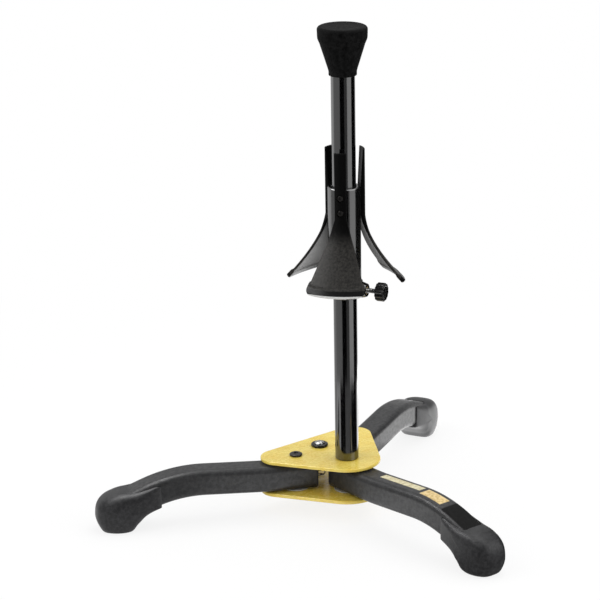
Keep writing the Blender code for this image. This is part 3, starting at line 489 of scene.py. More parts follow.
scene = bpy.context.scene
scene.world = bpy.data.worlds.new("studio")
air = empty_tree(scene.world)
strength = air.node("ShaderNodeMapRange", None, {"Value": seen_directly(air), "To Min": WORLD_LIGHT,
                                                 "To Max": 1.0})
white = air.node("ShaderNodeBackground", None, {"Color": colour(1, 1, 1), "Strength": strength})
air.show("ShaderNodeOutputWorld", white)
scene.view_settings.view_transform = "Standard"

rings = [(radius, FLOOR_Z) for radius in (0.0, 0.3, 0.6, 1.2, 3.0)]
floor = solid("floor", patch(lathe(rings, 64) + AXIS))
floor.data.materials.append(bpy.data.materials.new("floor_paper"))
paper = empty_tree(floor.data.materials[0])
away = paper.node("ShaderNodeVectorMath", {"operation": "LENGTH"},
                  {0: paper.node("ShaderNodeTexCoord", out="Object")}, out="Value")
share = seen_directly(paper) * paper.smooth(away, FADE_START, FADE_END, FLOOR_WHITE, 1.0)
lit = paper.node("ShaderNodeBsdfDiffuse", None, {"Color": colour(PAPER_SHADE, PAPER_SHADE, PAPER_SHADE)})
glow = paper.node("ShaderNodeEmission")
paper.show("ShaderNodeOutputMaterial", paper.node("ShaderNodeMixShader", None, {0: share, 1: lit, 2: glow}))

# %% [markdown]
# Three large soft lamps do the rest: one high up behind the stand, one at the left that gives the pole and
# the knob their light edge, and one at the right. They are large so that the enamel of the hub mirrors no
# hard white spot.
#
# Black gloss shows nothing but its surroundings, so cards stand round the stand and lie on the floor, as in
# a real studio. The black and grey ones give the pole its dark bands, the bright ones draw a light rim along
# the legs, the left boot and the petals' lips, and a pale grey one stands behind. Only reflections see them.

# %% Lamps and cards
CAMERA_SIDE = 229.3
AIM_HEIGHT = 0.15


def lamp(name, azimuth, elevation, distance, size, power):
    """A square soft lamp, aimed at the middle of the pole. The azimuth counts from the camera's side."""
    light = bpy.data.lights.new(name, "AREA")
    light.shape, light.size, light.energy = "SQUARE", size, power
    made = bpy.data.objects.new(name, light)
    a, e = math.radians(CAMERA_SIDE + azimuth), math.radians(elevation)
    towards = np.array([math.cos(a) * math.cos(e), math.sin(a) * math.cos(e), math.sin(e)])
    x = np.array([-math.sin(a), math.cos(a), 0.0])
    matrix = np.eye(4)
    matrix[:3, :3] = np.stack((x, np.cross(towards, x), towards), axis=1)
    matrix[:3, 3] = AXIS + (0, 0, AIM_HEIGHT) + towards * distance
    made.matrix_world = matrix.T.tolist()
    bpy.context.scene.collection.objects.link(made)
    return made


def card(name, start, end, shade, edges):
    """A strip round the pole between two directions, counted from the camera's to the right, seen only in
    reflections. Each of its two edges is a radius and a height in metres."""
    angle = np.radians(CAMERA_SIDE + np.linspace(start, end, 13))
    around = np.stack((np.cos(angle), np.sin(angle), np.zeros(13)), axis=1)
    grid = np.stack([around * radius + (0, 0, height) for radius, height in edges]) + AXIS
    made = solid(name, patch(grid, wrap_columns=False))
    made.data.materials.append(bpy.data.materials.new(name))
    tree = empty_tree(made.data.materials[0])
    tone = tree.node("ShaderNodeEmission", None, {"Color": colour(shade, shade, shade)})
    tree.show("ShaderNodeOutputMaterial", tone)
    made.visible_camera = made.visible_diffuse = made.visible_shadow = False
    made.visible_transmission = made.visible_volume_scatter = False
    return made


lamp("lamp_above", 140, 68, 1.5, 1.3, 10.0)
lamp("lamp_left", -75, 35, 1.5, 1.4, 8.5)
lamp("lamp_right", 75, 35, 1.6, 1.5, 9.0)
STANDING = (0.27, 0.0), (0.27, 0.42)
LYING = (0.11, 0.001), (0.269, 0.001)
for entry in (("card_left", -100, -31, 0.45, STANDING),
              ("card_by_camera", -31, 11, 0.0, STANDING),
              ("card_dark_grey", 11, 38, 0.15, STANDING),
              ("card_right", 83, 141, 0.0, STANDING),
              ("floor_card_left", -58, -10, 0.0, LYING),
              ("floor_card_middle", -10, 50, 0.25, LYING),
              ("floor_card_right", 50, 112, 0.0, LYING),
              ("bright_card_over_left_leg", -105, -44, 12.0, ((0.12, 0.33), (0.34, 0.33))),
              ("bright_card_beside_right_leg", 128, 174, 3.0, ((0.12, 0.001), (0.30, 0.001))),
              ("bright_card_beside_front_leg", -60, 10, 2.4, ((0.03, 0.001), (0.10, 0.001))),
              ("floor_card_far_left", -145, -100, 0.62, ((0.11, 0.001), (0.6, 0.001))),
              ("card_behind", 142, 218, 0.6, ((0.5, 0.0), (0.5, 0.5)))):
    card(*entry)

# %% [markdown]
# # Finishes
# ## Powder coat and gloss paint
# The legs are powder coated: the paint melts to a skin with a soft orange peel, here fine noise as relief,
# with a slower drift of shade and gloss. The pole is the same black, but smooth and far glossier, which is
# why it mirrors the studio in sharp upright bands.

# %% Black paint
def paint(name, dark, light, dull, shiny, peel, **constants):
    """Black paint between two shades and two roughnesses, with an orange peel of this depth."""
    made = Finish(name, "black_powder_coat", **constants)
    made.mottle(made.noise(2.6 * MM, detail=4.0, roughness=0.65), dark, light, dull, shiny)
    return made.bumps(made.noise(0.7 * MM, detail=1.0), peel)


LEG_COAT = ((0.024, 0.024, 0.025), (0.044, 0.044, 0.045), 0.42, 0.32, 0.010 * MM)
LEG_GLOSS = 0.22
leg_paint = paint("leg_powder_coat", *LEG_COAT, Specular_IOR_Level=LEG_GLOSS)
pole_paint = paint("pole_gloss_paint", (0.001, 0.001, 0.0012), (0.003, 0.003, 0.0035), 0.14, 0.09, 0.002 * MM,
                   IOR=2.3)
print("paint:", leg_paint.material.name, pole_paint.material.name)

# %% [markdown]
# The front leg carries a yellow stripe on its top face: a long, narrow bar that is pale, and a short, wide
# one that is golden. It is part of the paint, so it is a mask in the material, cut from the distance along
# the leg and the distance from its middle line, with an edge that the spray has left a little ragged. Past
# the stripe, where the boot's opening shows the top of the leg's end, the paint is dull and painted black
# as the shade inside the opening.

# %% Striped paint
striped_paint = paint("striped_powder_coat", *LEG_COAT, Specular_IOR_Level=LEG_GLOSS)
x, y, z = striped_paint.axes()
ragged = (striped_paint.noise(0.8 * MM, detail=2.0) - 0.5) * (0.5 * MM)
along = AXIS[1] - y
across = x - AXIS[0]


def bar_mask(middle, half_length, shift, half_width):
    """1 on a bar at this distance along the leg and 0 off it, in millimetres."""
    lengthways = striped_paint.smooth(abs(along - middle * MM), (half_length - 0.3) * MM,
                                      (half_length + 0.3) * MM, 1.0, 0.0)
    return lengthways * striped_paint.smooth(abs(across - shift * MM) + ragged, (half_width - 0.2) * MM,
                                             (half_width + 0.2) * MM, 1.0, 0.0)


bar = bar_mask(56, 20, 1.5, 2.9)
block = bar_mask(89.5, 10, -0.2, 4.4)
on_top = striped_paint.smooth(z, 30 * MM, 31 * MM)
worn = striped_paint.smooth(striped_paint.noise(2.4 * MM, detail=3.0), 0.3, 0.6)
pale = striped_paint.blend(worn, colour(0.52, 0.45, 0.26), colour(0.74, 0.68, 0.45))
golden = striped_paint.blend(worn, colour(0.54, 0.38, 0.14), colour(0.78, 0.60, 0.30))
yellow = striped_paint.blend(block, pale, golden)
painted = striped_paint.blend((bar + block) * on_top, striped_paint.current("Base Color"), yellow)
# Painted shade: inside the boot's opening the leg's end is painted near black as shade, and made rougher.
dull = striped_paint.smooth(along, 103.0 * MM, 104.5 * MM)
dull = dull * striped_paint.smooth(abs(across), 7.0 * MM, 8.0 * MM, 1.0, 0.0)
striped_paint.set("Base Color", striped_paint.blend(dull, painted, colour(0.004, 0.004, 0.004)))
striped_paint.set("Roughness", striped_paint.current("Roughness") + dull * 0.55)

# %% [markdown]
# ## Yellow enamel
# The hub plates are the one bright part. Their enamel pools a little, so its colour deepens in patches,
# and a thin clear layer gives the pale sheen that the top plate shows from a low angle.

# %% Yellow
enamel = Finish("hub_enamel", "yellow_enamel", Specular_IOR_Level=0.3, Coat_Weight=0.4, Coat_Roughness=0.20)
pool = enamel.noise(9 * MM, detail=2.0)
deep, pale = colour(0.80, 0.58, 0.085), colour(0.84, 0.66, 0.135)
enamel.set("Base Color", enamel.blend(enamel.smooth(pool, 0.3, 0.7), deep, pale))
enamel.set("Roughness", enamel.smooth(enamel.noise(3 * MM, detail=3.0), 0.3, 0.7, 0.22, 0.32))
enamel.bumps(enamel.noise(2.5 * MM, detail=0.0), 0.010 * MM)

# %% [markdown]
# ## Rubber
# The head is soft, matt rubber with a dusty, mottled skin. The boots are moulded in a harder and smoother
# rubber that takes a dull sheen, with fine pits from the mould.

# %% Rubbers
def rubber(name, dark, light, dull, shiny, lumps, relief, gloss):
    """Black rubber with dusty lumps of one size, and a relief of this depth."""
    made = Finish(name, "black_rubber", Specular_IOR_Level=gloss)
    made.mottle(made.noise(lumps, detail=5.0, roughness=0.7), dark, light, shiny, dull, start=0.35)
    grain = made.noise(0.5 * MM, detail=2.0) + made.noise(2.0 * MM, detail=2.0) * 0.6
    return made.bumps(grain, relief)


head_rubber = rubber("head_rubber", (0.002, 0.002, 0.002), (0.009, 0.009, 0.009), 0.8, 0.55, 3 * MM,
                     0.05 * MM, 0.05)
boot_rubber = rubber("boot_rubber", (0.014, 0.014, 0.015), (0.034, 0.034, 0.036), 0.50, 0.40, 2.4 * MM,
                     0.010 * MM, 0.30)

# %% [markdown]
# ## Nylon
# Sleeve, fins, knob and bezel are black nylon. The fins have the fine sandy texture of an etched mould,
# the knob and the bezel are smoother, and the sleeve is glossy enough to mirror the cards as the pole does.
# The washers are the same plastic left white.

# %% Nylons
def nylon(name, slot, dark, light, dull, shiny, grain, relief, gloss=0.5, **constants):
    """Nylon between two shades and two roughnesses, with a grain of this size and depth."""
    made = Finish(name, slot, Specular_IOR_Level=gloss, **constants)
    made.mottle(made.noise(1.6 * MM, detail=4.0, roughness=0.7), dark, light, shiny, dull)
    return made.bumps(made.noise(grain, detail=2.0), relief)


SMOOTH_BLACK = ((0.002, 0.002, 0.002), (0.006, 0.006, 0.006))
fin_nylon = nylon("fin_nylon", "black_nylon", (0.013, 0.0125, 0.012), (0.038, 0.036, 0.033), 0.42, 0.30,
                  0.45 * MM, 0.030 * MM, 0.08)
sleeve_nylon = nylon("sleeve_nylon", "black_nylon", *SMOOTH_BLACK, 0.20, 0.12, 0.6 * MM, 0.004 * MM, IOR=2.2)
turned_nylon = nylon("turned_nylon", "black_nylon", *SMOOTH_BLACK, 0.26, 0.16, 0.6 * MM, 0.005 * MM, 0.4)
white_nylon = nylon("white_nylon", "white_nylon", (0.42, 0.41, 0.38), (0.52, 0.51, 0.48), 0.5, 0.4,
                    0.8 * MM, 0.01 * MM)

# %% [markdown]
# The petals keep the nylon's mottled colour, and the bars above and a smooth lip along each petal's foot
# are painted plain black as shade. Along the lip's very edge runs a painted highlight, a pale line that
# stands for the white floor mirrored in the lower rim. These are masks in the fins' material, and they
# read a number that is stored at each point of a fin, its distance from the foot's edge.

# %% Petals and lips
from_foot = fin_nylon.attribute("from_foot")
lip = fin_nylon.smooth(from_foot, 4.2 * MM, 5.0 * MM, 1.0, 0.0)
# Painted highlight: a pale line along the foot's very edge, standing for the white floor mirrored in the rim.
edge = fin_nylon.smooth(from_foot, 0.7 * MM, 1.0 * MM, 1.0, 0.0)
petal_share = fin_nylon.smooth(from_foot, 34 * MM, 46 * MM, 1.0, 0.0)
# Painted shade: the bars and the lip are plain black in place of the petals' mottled colour.
painted_shade_black = colour(0.003, 0.003, 0.003)
petals_and_painted_shade = fin_nylon.blend(petal_share * (1 - lip), painted_shade_black, fin_nylon.current("Base Color"))
fin_nylon.set("Base Color", fin_nylon.blend(edge, petals_and_painted_shade, colour(0.62, 0.62, 0.61)))
fin_nylon.set("Roughness", fin_nylon.current("Roughness") * (1 - lip * 0.3))

# %% [markdown]
# ## Bolts, plating and brass
# Black oxide is a thin, slightly brown skin on steel. Zinc has a pale spangle with small changes of gloss,
# and on the pivot nuts and the lock's spring, under the hub, it is coloured near black. The clamp's insert
# and pad are brass, darker where fingers and air have dulled it.

# %% Metals
def metal(name, slot, dark, light, dull, shiny, grain, metallic=1.0):
    """Metal between two shades and two roughnesses, with a patina of this grain."""
    made = Finish(name, slot, Metallic=metallic)
    made.mottle(made.noise(grain, detail=4.0, roughness=0.6), dark, light, dull, shiny)
    return made.bumps(made.noise(grain / 4, detail=1.0), 0.004 * MM)


oxide = metal("black_oxide", "black_oxide_steel", (0.018, 0.017, 0.017), (0.035, 0.032, 0.030), 0.42, 0.30,
              1.2 * MM, 0.6)
zinc = metal("zinc_plate", "zinc_steel", (0.28, 0.285, 0.29), (0.42, 0.42, 0.41), 0.38, 0.26, 1.5 * MM)
# The pivot nuts and the lock's spring, under the hub, get this zinc coloured near black.
dark_zinc = metal("dark_zinc", "zinc_steel", (0.020, 0.020, 0.021), (0.045, 0.045, 0.046), 0.42, 0.30,
                  1.5 * MM, 0.5)
brass = metal("brass", "brass", (0.56, 0.38, 0.12), (0.78, 0.58, 0.24), 0.34, 0.22, 1.0 * MM)
print("finishes:", len(bpy.data.materials))

# %% [markdown]
# # The pole
# The pole is a plain 16 mm tube with a wall of 1.5 mm, open at both ends, with its edges just broken. A
# closed profile turned about the axis gives inside and outside at once.

# %% Pole
def at(x, y, z=0.0):
    """A point given in millimetres from the pole's foot on the floor."""
    return AXIS + np.array([x, y, z]) * MM


def heights(node):
    """The lower and the upper end of a node's box, in millimetres."""
    return low(node)[2] / MM, high(node)[2] / MM


def outline(corners, edge=0.15, steps=2, closed=False):
    """A profile in millimetres with the small radii of a turned part."""
    return rounded(corners, edge, steps, closed)


def ring(bore, radius, z_low, z_high, edge):
    """The rounded section of a tube or washer, in millimetres."""
    return outline([(bore, z_high), (radius, z_high), (radius, z_low), (bore, z_low)], edge, 3, True)


def turned(node, finish, profile, place=upright(AXIS), steps=96, form=None, closed=False):
    """A turned piece that stands for its node. Its profile and its form are in millimetres."""
    grid = inside(place(lathe(profile, steps, form) * MM), node)
    return stand_in(solid(f"{node}_form", patch(grid, wrap_rows=closed)), node, finish)


POLE_WALL = 1.5
turned("pole", pole_paint, ring(POLE_R - POLE_WALL, POLE_R, *heights("pole"), 0.3), closed=True)

# %% [markdown]
# ## The rubber head
# The head is tulip shaped: a short neck grips the tube, the body flares in an almost straight taper, and
# the widest band ends in a rounded rim. The flat top is very slightly dished, as moulded caps are.

# %% Head
HEAD_FIT = 0.3
neck, top = heights("head_cap")
wide = (high("head_cap") - low("head_cap"))[0] / 2 / MM
bore = POLE_R + HEAD_FIT
tube_end = heights("pole")[1] + HEAD_FIT
corners = [(0, top - 0.35), (wide - 6.5, top - 0.3), (wide - 5.0, top), (wide, top), (wide - 0.3, top - 8.0),
           (wide - 1.7, top - 11.2), (9.8, neck + 4.5), (9.3, neck + 2.6), (9.3, neck), (bore, neck),
           (bore, tube_end), (0, tube_end)]
radii = [0, 2, 1.5, 4.2, 6, 12, 3, 2, 0.5, 0.3, 0.3, 0]
turned("head_cap", head_rubber, outline(corners, radii, 8))

# %% [markdown]
# ## Plug and bolt inside the foot
# A zinc-plated plug is pressed into the pole's foot, and one long bolt from below holds plug, plates,
# spacer and front leg together. They are hidden, but the model can be taken apart, so they get their
# hexagon, chamfers and thread.

# %% Plug and pole bolt
def refine(profile, spacing):
    """Adds points along a profile so that none are further apart than spacing."""
    length = np.append(0, np.cumsum(np.linalg.norm(np.diff(profile, axis=0), axis=1)))
    s = np.union1d(length, np.arange(0, length[-1], spacing))
    return np.stack([np.interp(s, length, profile[:, k]) for k in (0, 1)], axis=1)


ONE_BY_TAN_30 = 1.73


def hexagon_between(flats, z_low, z_high, face):
    """Between two heights the radius follows a hexagon, and a cone of 30 degrees from the outer face trims
    its corners: radius = min(hexagon, flats/2 + distance from the face / tan 30)."""
    def form(radius, angle, height):
        trim = flats / 2 + np.abs(height - face) * ONE_BY_TAN_30
        here = (height > z_low - 0.01) & (height < z_high + 0.01) & (radius > flats * 0.3)
        return np.where(here, np.minimum(radius * hexagonal(angle), trim), radius), height
    return form


def both(*forms):
    """One form after another."""
    def form(radius, angle, height):
        for rule in forms:
            radius, height = rule(radius, angle, height)
        return radius, height
    return form


turned("pole_plug", zinc, ring(3.3, 6.2, *heights("pole_plug"), 0.4), closed=True)

BOLT_FLATS = 10.0
shape = outline([(0, 9.2), (BOLT_FLATS / 2, 9.2), (BOLT_FLATS / 2, 13.2), (3, 13.2), (3, 56.9), (2.4, 57.5),
                 (0, 57.5)])
turned("pole_bolt", oxide, refine(shape, 0.15), steps=72,
       form=both(hexagon_between(BOLT_FLATS, 9.2, 13.2, 9.2), threaded(38, 57.2, 1.0, 0.45)))

# %% [markdown]
# # The hub
# Two yellow plates, cut from 2.4 mm sheet, hold the legs like a sandwich. Their outline is the hull of one
# large circle round the pole and one smaller circle round each pivot corner. The hull has a neat formula:
# in each direction, the point of the hull is the furthest point of any of the circles.

# %% Plates
HULL_STEPS = 240
PLATE_CIRCLES = [(0, 0, 23), (-33, 33, 13), (33, 33, 13)]


def hull(circles, inset):
    """For each direction n, centre + (radius - inset) n of the circle that reaches furthest along n."""
    angle = np.linspace(0, 2 * np.pi, HULL_STEPS, endpoint=False)
    normal = np.stack((np.cos(angle), np.sin(angle)), axis=1)
    circles = np.asarray(circles, float)
    winner = (normal @ circles[:, :2].T + circles[:, 2]).argmax(axis=1)
    return circles[winner, :2] + (circles[winner, 2:] - inset) * normal


def plate(node, holes):
    """The hull carried up a rounded edge, closed by flat caps, with its holes drilled."""
    z_low, z_high = heights(node)
    edge = rounded([(3, z_low), (0, z_low), (0, z_high), (3, z_high)], 0.7, steps=5)[1:-1]
    rows = [np.column_stack((hull(PLATE_CIRCLES, inset), np.full(HULL_STEPS, z))) for inset, z in edge]
    grid = inside(np.stack(rows) * MM + AXIS, node)
    made = solid(f"{node}_form", patch(grid), cap(grid[0]), cap(grid[-1]))
    for x, y, diameter in holes:
        combine(made, rod(diameter / 2, z_low - 2, z_high + 2, upright(at(x, y))))
    return stand_in(made, node, enamel)


LEG_BOLTS = [(-24, 26, 5.6), (24, 26, 5.6), (0, 0, 6.6)]
LOCK_Y, LEG_SCREW_Y = 29.5, -15.0
plate("top_plate", LEG_BOLTS + [(0, LOCK_Y, 10.6)])
plate("bottom_plate", LEG_BOLTS + [(0, LEG_SCREW_Y, 4.6)])

# %% [markdown]
# ## Washers and spacers
# A white nylon washer above and below each leg lets it swing without scraping the paint. A steel spacer
# tube inside each leg takes the clamping force of its bolt, so that the legs stay free to turn.

# %% Washers and spacers
WASHER_R = 9.0
STACKS = {"front": (0, 0, 9.8, 6.6), "left": (-24, 26, 8.8, 5.6), "right": (24, 26, 8.8, 5.6)}
for side, (x, y, washer_bore, bolt_bore) in STACKS.items():
    place = upright(at(x, y))
    for level in ("upper", "lower"):
        node = f"{side}_{level}_washer"
        section = ring(washer_bore / 2, WASHER_R, *heights(node), 0.2)
        turned(node, white_nylon, section, place, 72, closed=True)
    node = f"{side}_spacer"
    radius = (high(node) - low(node))[0] / 2 / MM
    turned(node, zinc, ring(bolt_bore / 2, radius, *heights(node), 0.25), place, 48, closed=True)

# %% [markdown]
# ## Pivot bolts and nuts
# Each rear leg turns on a bolt with a low, round head and a small hexagon socket. Below the hub it ends in
# a lock nut, hexagonal with a round collar that holds the nylon ring.

# %% Pivots
def socketed(widest):
    """Turns a round recess up to this radius into a hexagon socket."""
    def form(radius, angle, height):
        return np.where(radius < widest, radius * hexagonal(angle), radius), height
    return form


NUT_FLATS = 8.0
for side in ("left", "right"):
    place = upright(at(*STACKS[side][:2]))
    shape = outline([(0, 40.2), (1.5, 40.2), (1.5, 41.3), (3.5, 41.15), (4.4, 40.6), (4.4, 39.5), (2.5, 39.5),
                     (2.5, 8.0), (2.0, 7.5), (0, 7.5)], 0.3, 4)
    turned(f"{side}_pivot_bolt", oxide, refine(shape, 0.15), place, 72,
           both(socketed(1.55), threaded(7.8, 15, 0.8, 0.4)))
    shape = outline([(2.8, 8.5), (2.9, 8.5), (3.6, 8.5), (3.6, 9.6), (4, 9.6), (4, 13.2), (2.8, 13.2)],
                    closed=True)
    turned(f"{side}_pivot_nut", dark_zinc, refine(shape, 0.2), place, 72,
           hexagon_between(NUT_FLATS, 9.7, 13.2, 13.2), closed=True)

# %% [markdown]
# ## The screw under the front leg
# A small screw through the lower plate keeps the front leg from turning. It cuts its own thread in the
# tube's lower wall, so its thread is coarse, and its head has a cross recess.

# %% Leg screw
def cross_recess(arm, width, face, depth):
    """Sinks a cross into a screw head: inside the plus sign the face moves by the depth, less far out."""
    def form(radius, angle, height):
        edge = crossed(angle, arm, width)
        deep = np.clip((edge - radius) / 0.15, 0, 1) * (1 - 0.5 * radius / arm)
        on_face = np.abs(height - face) < 0.3
        return radius, np.where(on_face, height + depth * deep, height)
    return form


shape = outline([(0, 11.4), (2.6, 11.4), (4, 12.6), (4, 13.2), (2, 13.2), (2, 20.6), (0.3, 22.6), (0, 22.6)],
                0.3, 4)
turned("front_leg_screw", oxide, refine(shape, 0.15), upright(at(0, LEG_SCREW_Y)), 96,
       both(cross_recess(1.9, 0.45, 11.4, 0.9), threaded(14, 21.5, 1.4, 0.5)))

# %% [markdown]
# # The legs
# Each leg is one length of box tube, bent in its upright plane: level in the hub, a slight climb, and a
# curve down to the foot. The path is worked out as lengths that turn by an angle, and a rounded square is
# carried along it twice, once for the outside and once for the inside of the wall.

# %% Legs
LEG_MID_Z = 26.35
LEG_W, LEG_H, LEG_CORNER, LEG_WALL = 19.0, 18.5, 4.2, 1.5
CLIMB, FALL = math.radians(3.5), math.radians(21)
CLIMB_R, ARCH_R = 250, 95
LEVEL_RUN, FOOT_RUN, END_RUN = 14, 20, 12
SIDE_REACH, FRONT_REACH = 124.4, 134.0
LIP = 0.3


def follow(start, lengths, spacing=2.0):
    """Straight and evenly bent lengths in one plane. After a length s that turns by f, the chord is
    s sin(f/2) / (f/2) long and lies at half the turn."""
    rows, heading = [np.array([start], float)], 0.0
    for length, turn in lengths:
        s = np.linspace(0, length, max(3, round(length / spacing)))[1:, None]
        half = turn * s / length / 2
        chord = s * np.sinc(half / np.pi)
        rows.append(rows[-1][-1] + chord * np.hstack((np.cos(heading + half), np.sin(heading + half))))
        heading += turn
    return np.concatenate(rows)


def leg_line(reach, overhang, spare=0.0):
    """The middle of a leg's tube, as distance from the pivot and height from the tube's middle."""
    rise = LEVEL_RUN + reach - SIDE_REACH
    climb_start = rise + CLIMB_R * math.sin(CLIMB)
    arch_start = reach - FOOT_RUN - ARCH_R * (math.sin(CLIMB) + math.sin(FALL))
    return follow((-overhang, 0), [(rise + overhang, 0), (CLIMB_R * CLIMB, CLIMB),
                                   ((arch_start - climb_start) / math.cos(CLIMB), 0),
                                   (ARCH_R * (CLIMB + FALL), -CLIMB - FALL),
                                   (END_RUN / math.cos(FALL) + spare, 0)])


def in_leg(seat, direction):
    """Places points given as distance along a leg, sideways and height, in millimetres."""
    return lambda points: at(*seat) + (points @ spun(direction)) * MM


def along_leg(line):
    """A leg's line as points above the floor, in the leg's own plane."""
    return np.column_stack((line[:, 0], np.zeros(len(line)), line[:, 1] + LEG_MID_Z))


def box_section(width, height, corner):
    """The rounded outline of a box tube, across and upwards."""
    corners = np.array([(1, 1), (-1, 1), (-1, -1), (1, -1)]) * (width / 2, height / 2)
    return rounded(corners, corner, steps=7, closed=True)


def tube(line):
    """Outer wall, end lip, inner wall and start lip as one closed grid."""
    path = along_leg(line)
    outer = carry(path, box_section(LEG_W, LEG_H, LEG_CORNER), (0, 1, 0))
    bore = box_section(LEG_W - 2 * LEG_WALL, LEG_H - 2 * LEG_WALL, LEG_CORNER - LEG_WALL)
    inner = carry(path, bore, (0, 1, 0))
    start, end = path[0] - path[1], path[-1] - path[-2]
    lips = []
    for away, row in ((end / np.linalg.norm(end), -1), (start / np.linalg.norm(start), 0)):
        u = np.array([0.08, 0.3, 0.7, 0.92])[:, None, None]
        swell = LIP * np.array([0.8, 1, 1, 0.8])[:, None, None]
        lips.append(outer[row] * (1 - u) + inner[row] * u + away * swell)
    return np.concatenate((outer, lips[0], inner[::-1], lips[1][::-1]))


LEGS = {"front": (-90.0, FRONT_REACH, 9.0), "left": (154.8, SIDE_REACH, 13.5),
        "right": (25.2, SIDE_REACH, 13.5)}
for side, (direction, reach, overhang) in LEGS.items():
    seat, hole = STACKS[side][:2], STACKS[side][2]
    place = in_leg(seat, direction)
    node = f"{side}_leg"
    grid = inside(place(tube(leg_line(reach, overhang - LIP, -LIP))), node)
    leg = solid(f"{node}_form", patch(grid, wrap_rows=True), sharp=40)
    combine(leg, rod(hole / 2, 10, 45, upright(at(*seat))))
    if side == "front":
        combine(leg, rod(2.3, 10, 26, upright(at(0, LEG_SCREW_Y))))
    stand_in(leg, node, striped_paint if side == "front" else leg_paint)

# %% [markdown]
# # The rubber boots
# Each foot is a moulded boot that swallows the end of its tube: the rubber follows the bent tube at the
# cuff, closes round its end with a sloping heel and ends in a flat sole and a blunt toe. It is the most
# sculpted piece of the base. It starts as a smooth side view, drawn through a few points.

# %% Side view of a boot
def smooth_loop(points, corners, steps=14):
    """A closed cubic curve through points. A handle points along the sum of the two unit directions to
    the neighbours and is 0.39 of the way to the next point long; corner points get straight ones."""
    here = np.asarray(points, float)
    ahead = np.roll(here, -1, axis=0) - here
    gap = np.linalg.norm(ahead, axis=1, keepdims=True)
    unit = ahead / gap
    tangent = unit + np.roll(unit, 1, axis=0)
    tangent = tangent / np.linalg.norm(tangent, axis=1, keepdims=True)
    plain = np.zeros((len(here), 1), bool)
    plain[corners] = True
    leave = here + np.where(plain, ahead / 3, tangent * gap * 0.39)
    arrive = np.roll(here, -1, axis=0) - np.where(np.roll(plain, -1, axis=0), ahead / 3,
                                                  np.roll(tangent, -1, axis=0) * gap * 0.39)
    t = np.linspace(0, 1, steps, endpoint=False)[None, :, None]
    curve = ((1 - t) ** 3 * here[:, None] + 3 * t * (1 - t) ** 2 * leave[:, None]
             + 3 * t ** 2 * (1 - t) * arrive[:, None] + t ** 3 * np.roll(here, -1, axis=0)[:, None])
    return curve.reshape(-1, 2)


CUFF_X = -28.0
CUFF_HALF = LEG_H / 2 / math.cos(FALL) + 1.1
leg_middle = leg_line(SIDE_REACH, 0.0)


def cuff_at(x, side):
    """Height of the cuff's upper (1) or lower (-1) edge by distance from the sole's middle, where the rubber
    follows the tube."""
    return LEG_MID_Z + np.interp(SIDE_REACH + x, *leg_middle.T) + side * CUFF_HALF


side_view = smooth_loop([(-34, cuff_at(-34, 1) - 0.9), (-34, cuff_at(-34, -1) + 1.2),
                         (-19.32, cuff_at(-19.32, -1) + 0.2), (-12.32, 5.53), (-6, -1.2), (10, -1.2),
                         (14.2, 3.69), (16.2, 13.70), (12.4, 23.7), (3, 28.46),
                         (-12.32, cuff_at(-12.32, 1) - 0.4)], [0, 1])
print("side view of", len(side_view), "points, x from", side_view[:, 0].min(), "to", side_view[:, 0].max())

# %% [markdown]
# Slices of the side view, drawn in towards the boot's heart on a superellipse, give the body its round back
# and nearly flat sides. The rubber ends in a thin step at the cuff, with a slot in its top, so the space for
# the tube and the slot are cut out last.

# %% Boots
BOOT_W = 26.0
SQUARENESS = (-24, 10), (5.4, 3.0)
WIDTH_SHARE = (CUFF_X, -12), (0.42, 0.5)
SOCKET_FIT, SOCKET_FLARE, MOUTH = 0.3, 0.035, 1.6
HEART = np.array([-4.0, 15.0])


def above(value, limit, soft):
    """The larger of value and limit, with a soft turn of this size between the two."""
    return limit + ((value - limit) + np.sqrt((value - limit) ** 2 + soft ** 2)) / 2


def boot(slices=56):
    """Slice a, from -90 to 90 degrees: the side view is drawn towards the heart by cos(a)^(2/s) and stands
    sideways at sin(a)^(2/s), where s falls from 5.4 at the cuff to 3.0 at the toe. The sole and the cuff
    are then pressed flat, which rounds their edges."""
    a = np.radians(np.linspace(-90, 90, slices + 1))[:, None]
    power = 2 / np.interp(side_view[:, 0], *SQUARENESS)[None, :]
    shrink = np.cos(a).clip(1e-9) ** power
    x = HEART[0] + shrink * (side_view[:, 0] - HEART[0])
    z = HEART[1] + shrink * (side_view[:, 1] - HEART[1])
    width = BOOT_W * np.interp(x, *WIDTH_SHARE)
    y = width * np.sign(a) * np.abs(np.sin(a)) ** power
    return np.stack((above(x, CUFF_X, 0.9), y, above(z, 0.0, 0.5)), axis=-1)


def socket(reach):
    """The space for the tube's end, flared a little at its mouth."""
    line = leg_line(reach, 0.0, SOCKET_FIT)
    line = line[line[:, 0] > reach - 60]
    mouth = np.clip((line[:, 0] - (reach + CUFF_X + MOUTH)) / -MOUTH, 0, 1)[:, None, None]
    section = box_section(LEG_W + 2 * SOCKET_FIT, LEG_H + 2 * SOCKET_FIT, LEG_CORNER)[None]
    return carry(along_leg(line), section * (1 + SOCKET_FLARE * mouth), (0, 1, 0))


def notch():
    """The opening in the top of the cuff, a rounded slot from the cuff's edge towards the toe."""
    corners = [(-34, -6.6), (-13.2, -6.6), (-13.2, 6.6), (-34, 6.6)]
    plan = rounded(corners, [0.1, 3, 3, 0.1], 5, True)
    return np.stack([np.column_stack((plan, np.full(len(plan), z))) for z in (26.0, 48.0)])


for side, (direction, reach, _) in LEGS.items():
    place = in_leg(STACKS[side][:2], direction)
    node = f"{side}_foot"
    grid = inside(place(boot() + (reach, 0, 0)), node)
    foot = solid(f"{node}_form", patch(grid), sharp=50)
    for name, space in (("socket", place(socket(reach))), ("notch", place(notch() + (reach, 0, 0)))):
        combine(foot, solid(name, patch(space), cap(space[0]), cap(space[-1])))
    stand_in(foot, node, boot_rubber)

# %% [markdown]
# # The lock
# A sprung button between the pivots holds the legs open or folded. Its steel cap stands in a black bezel,
# and its pin carries a flange that the spring pushes up against the plate.

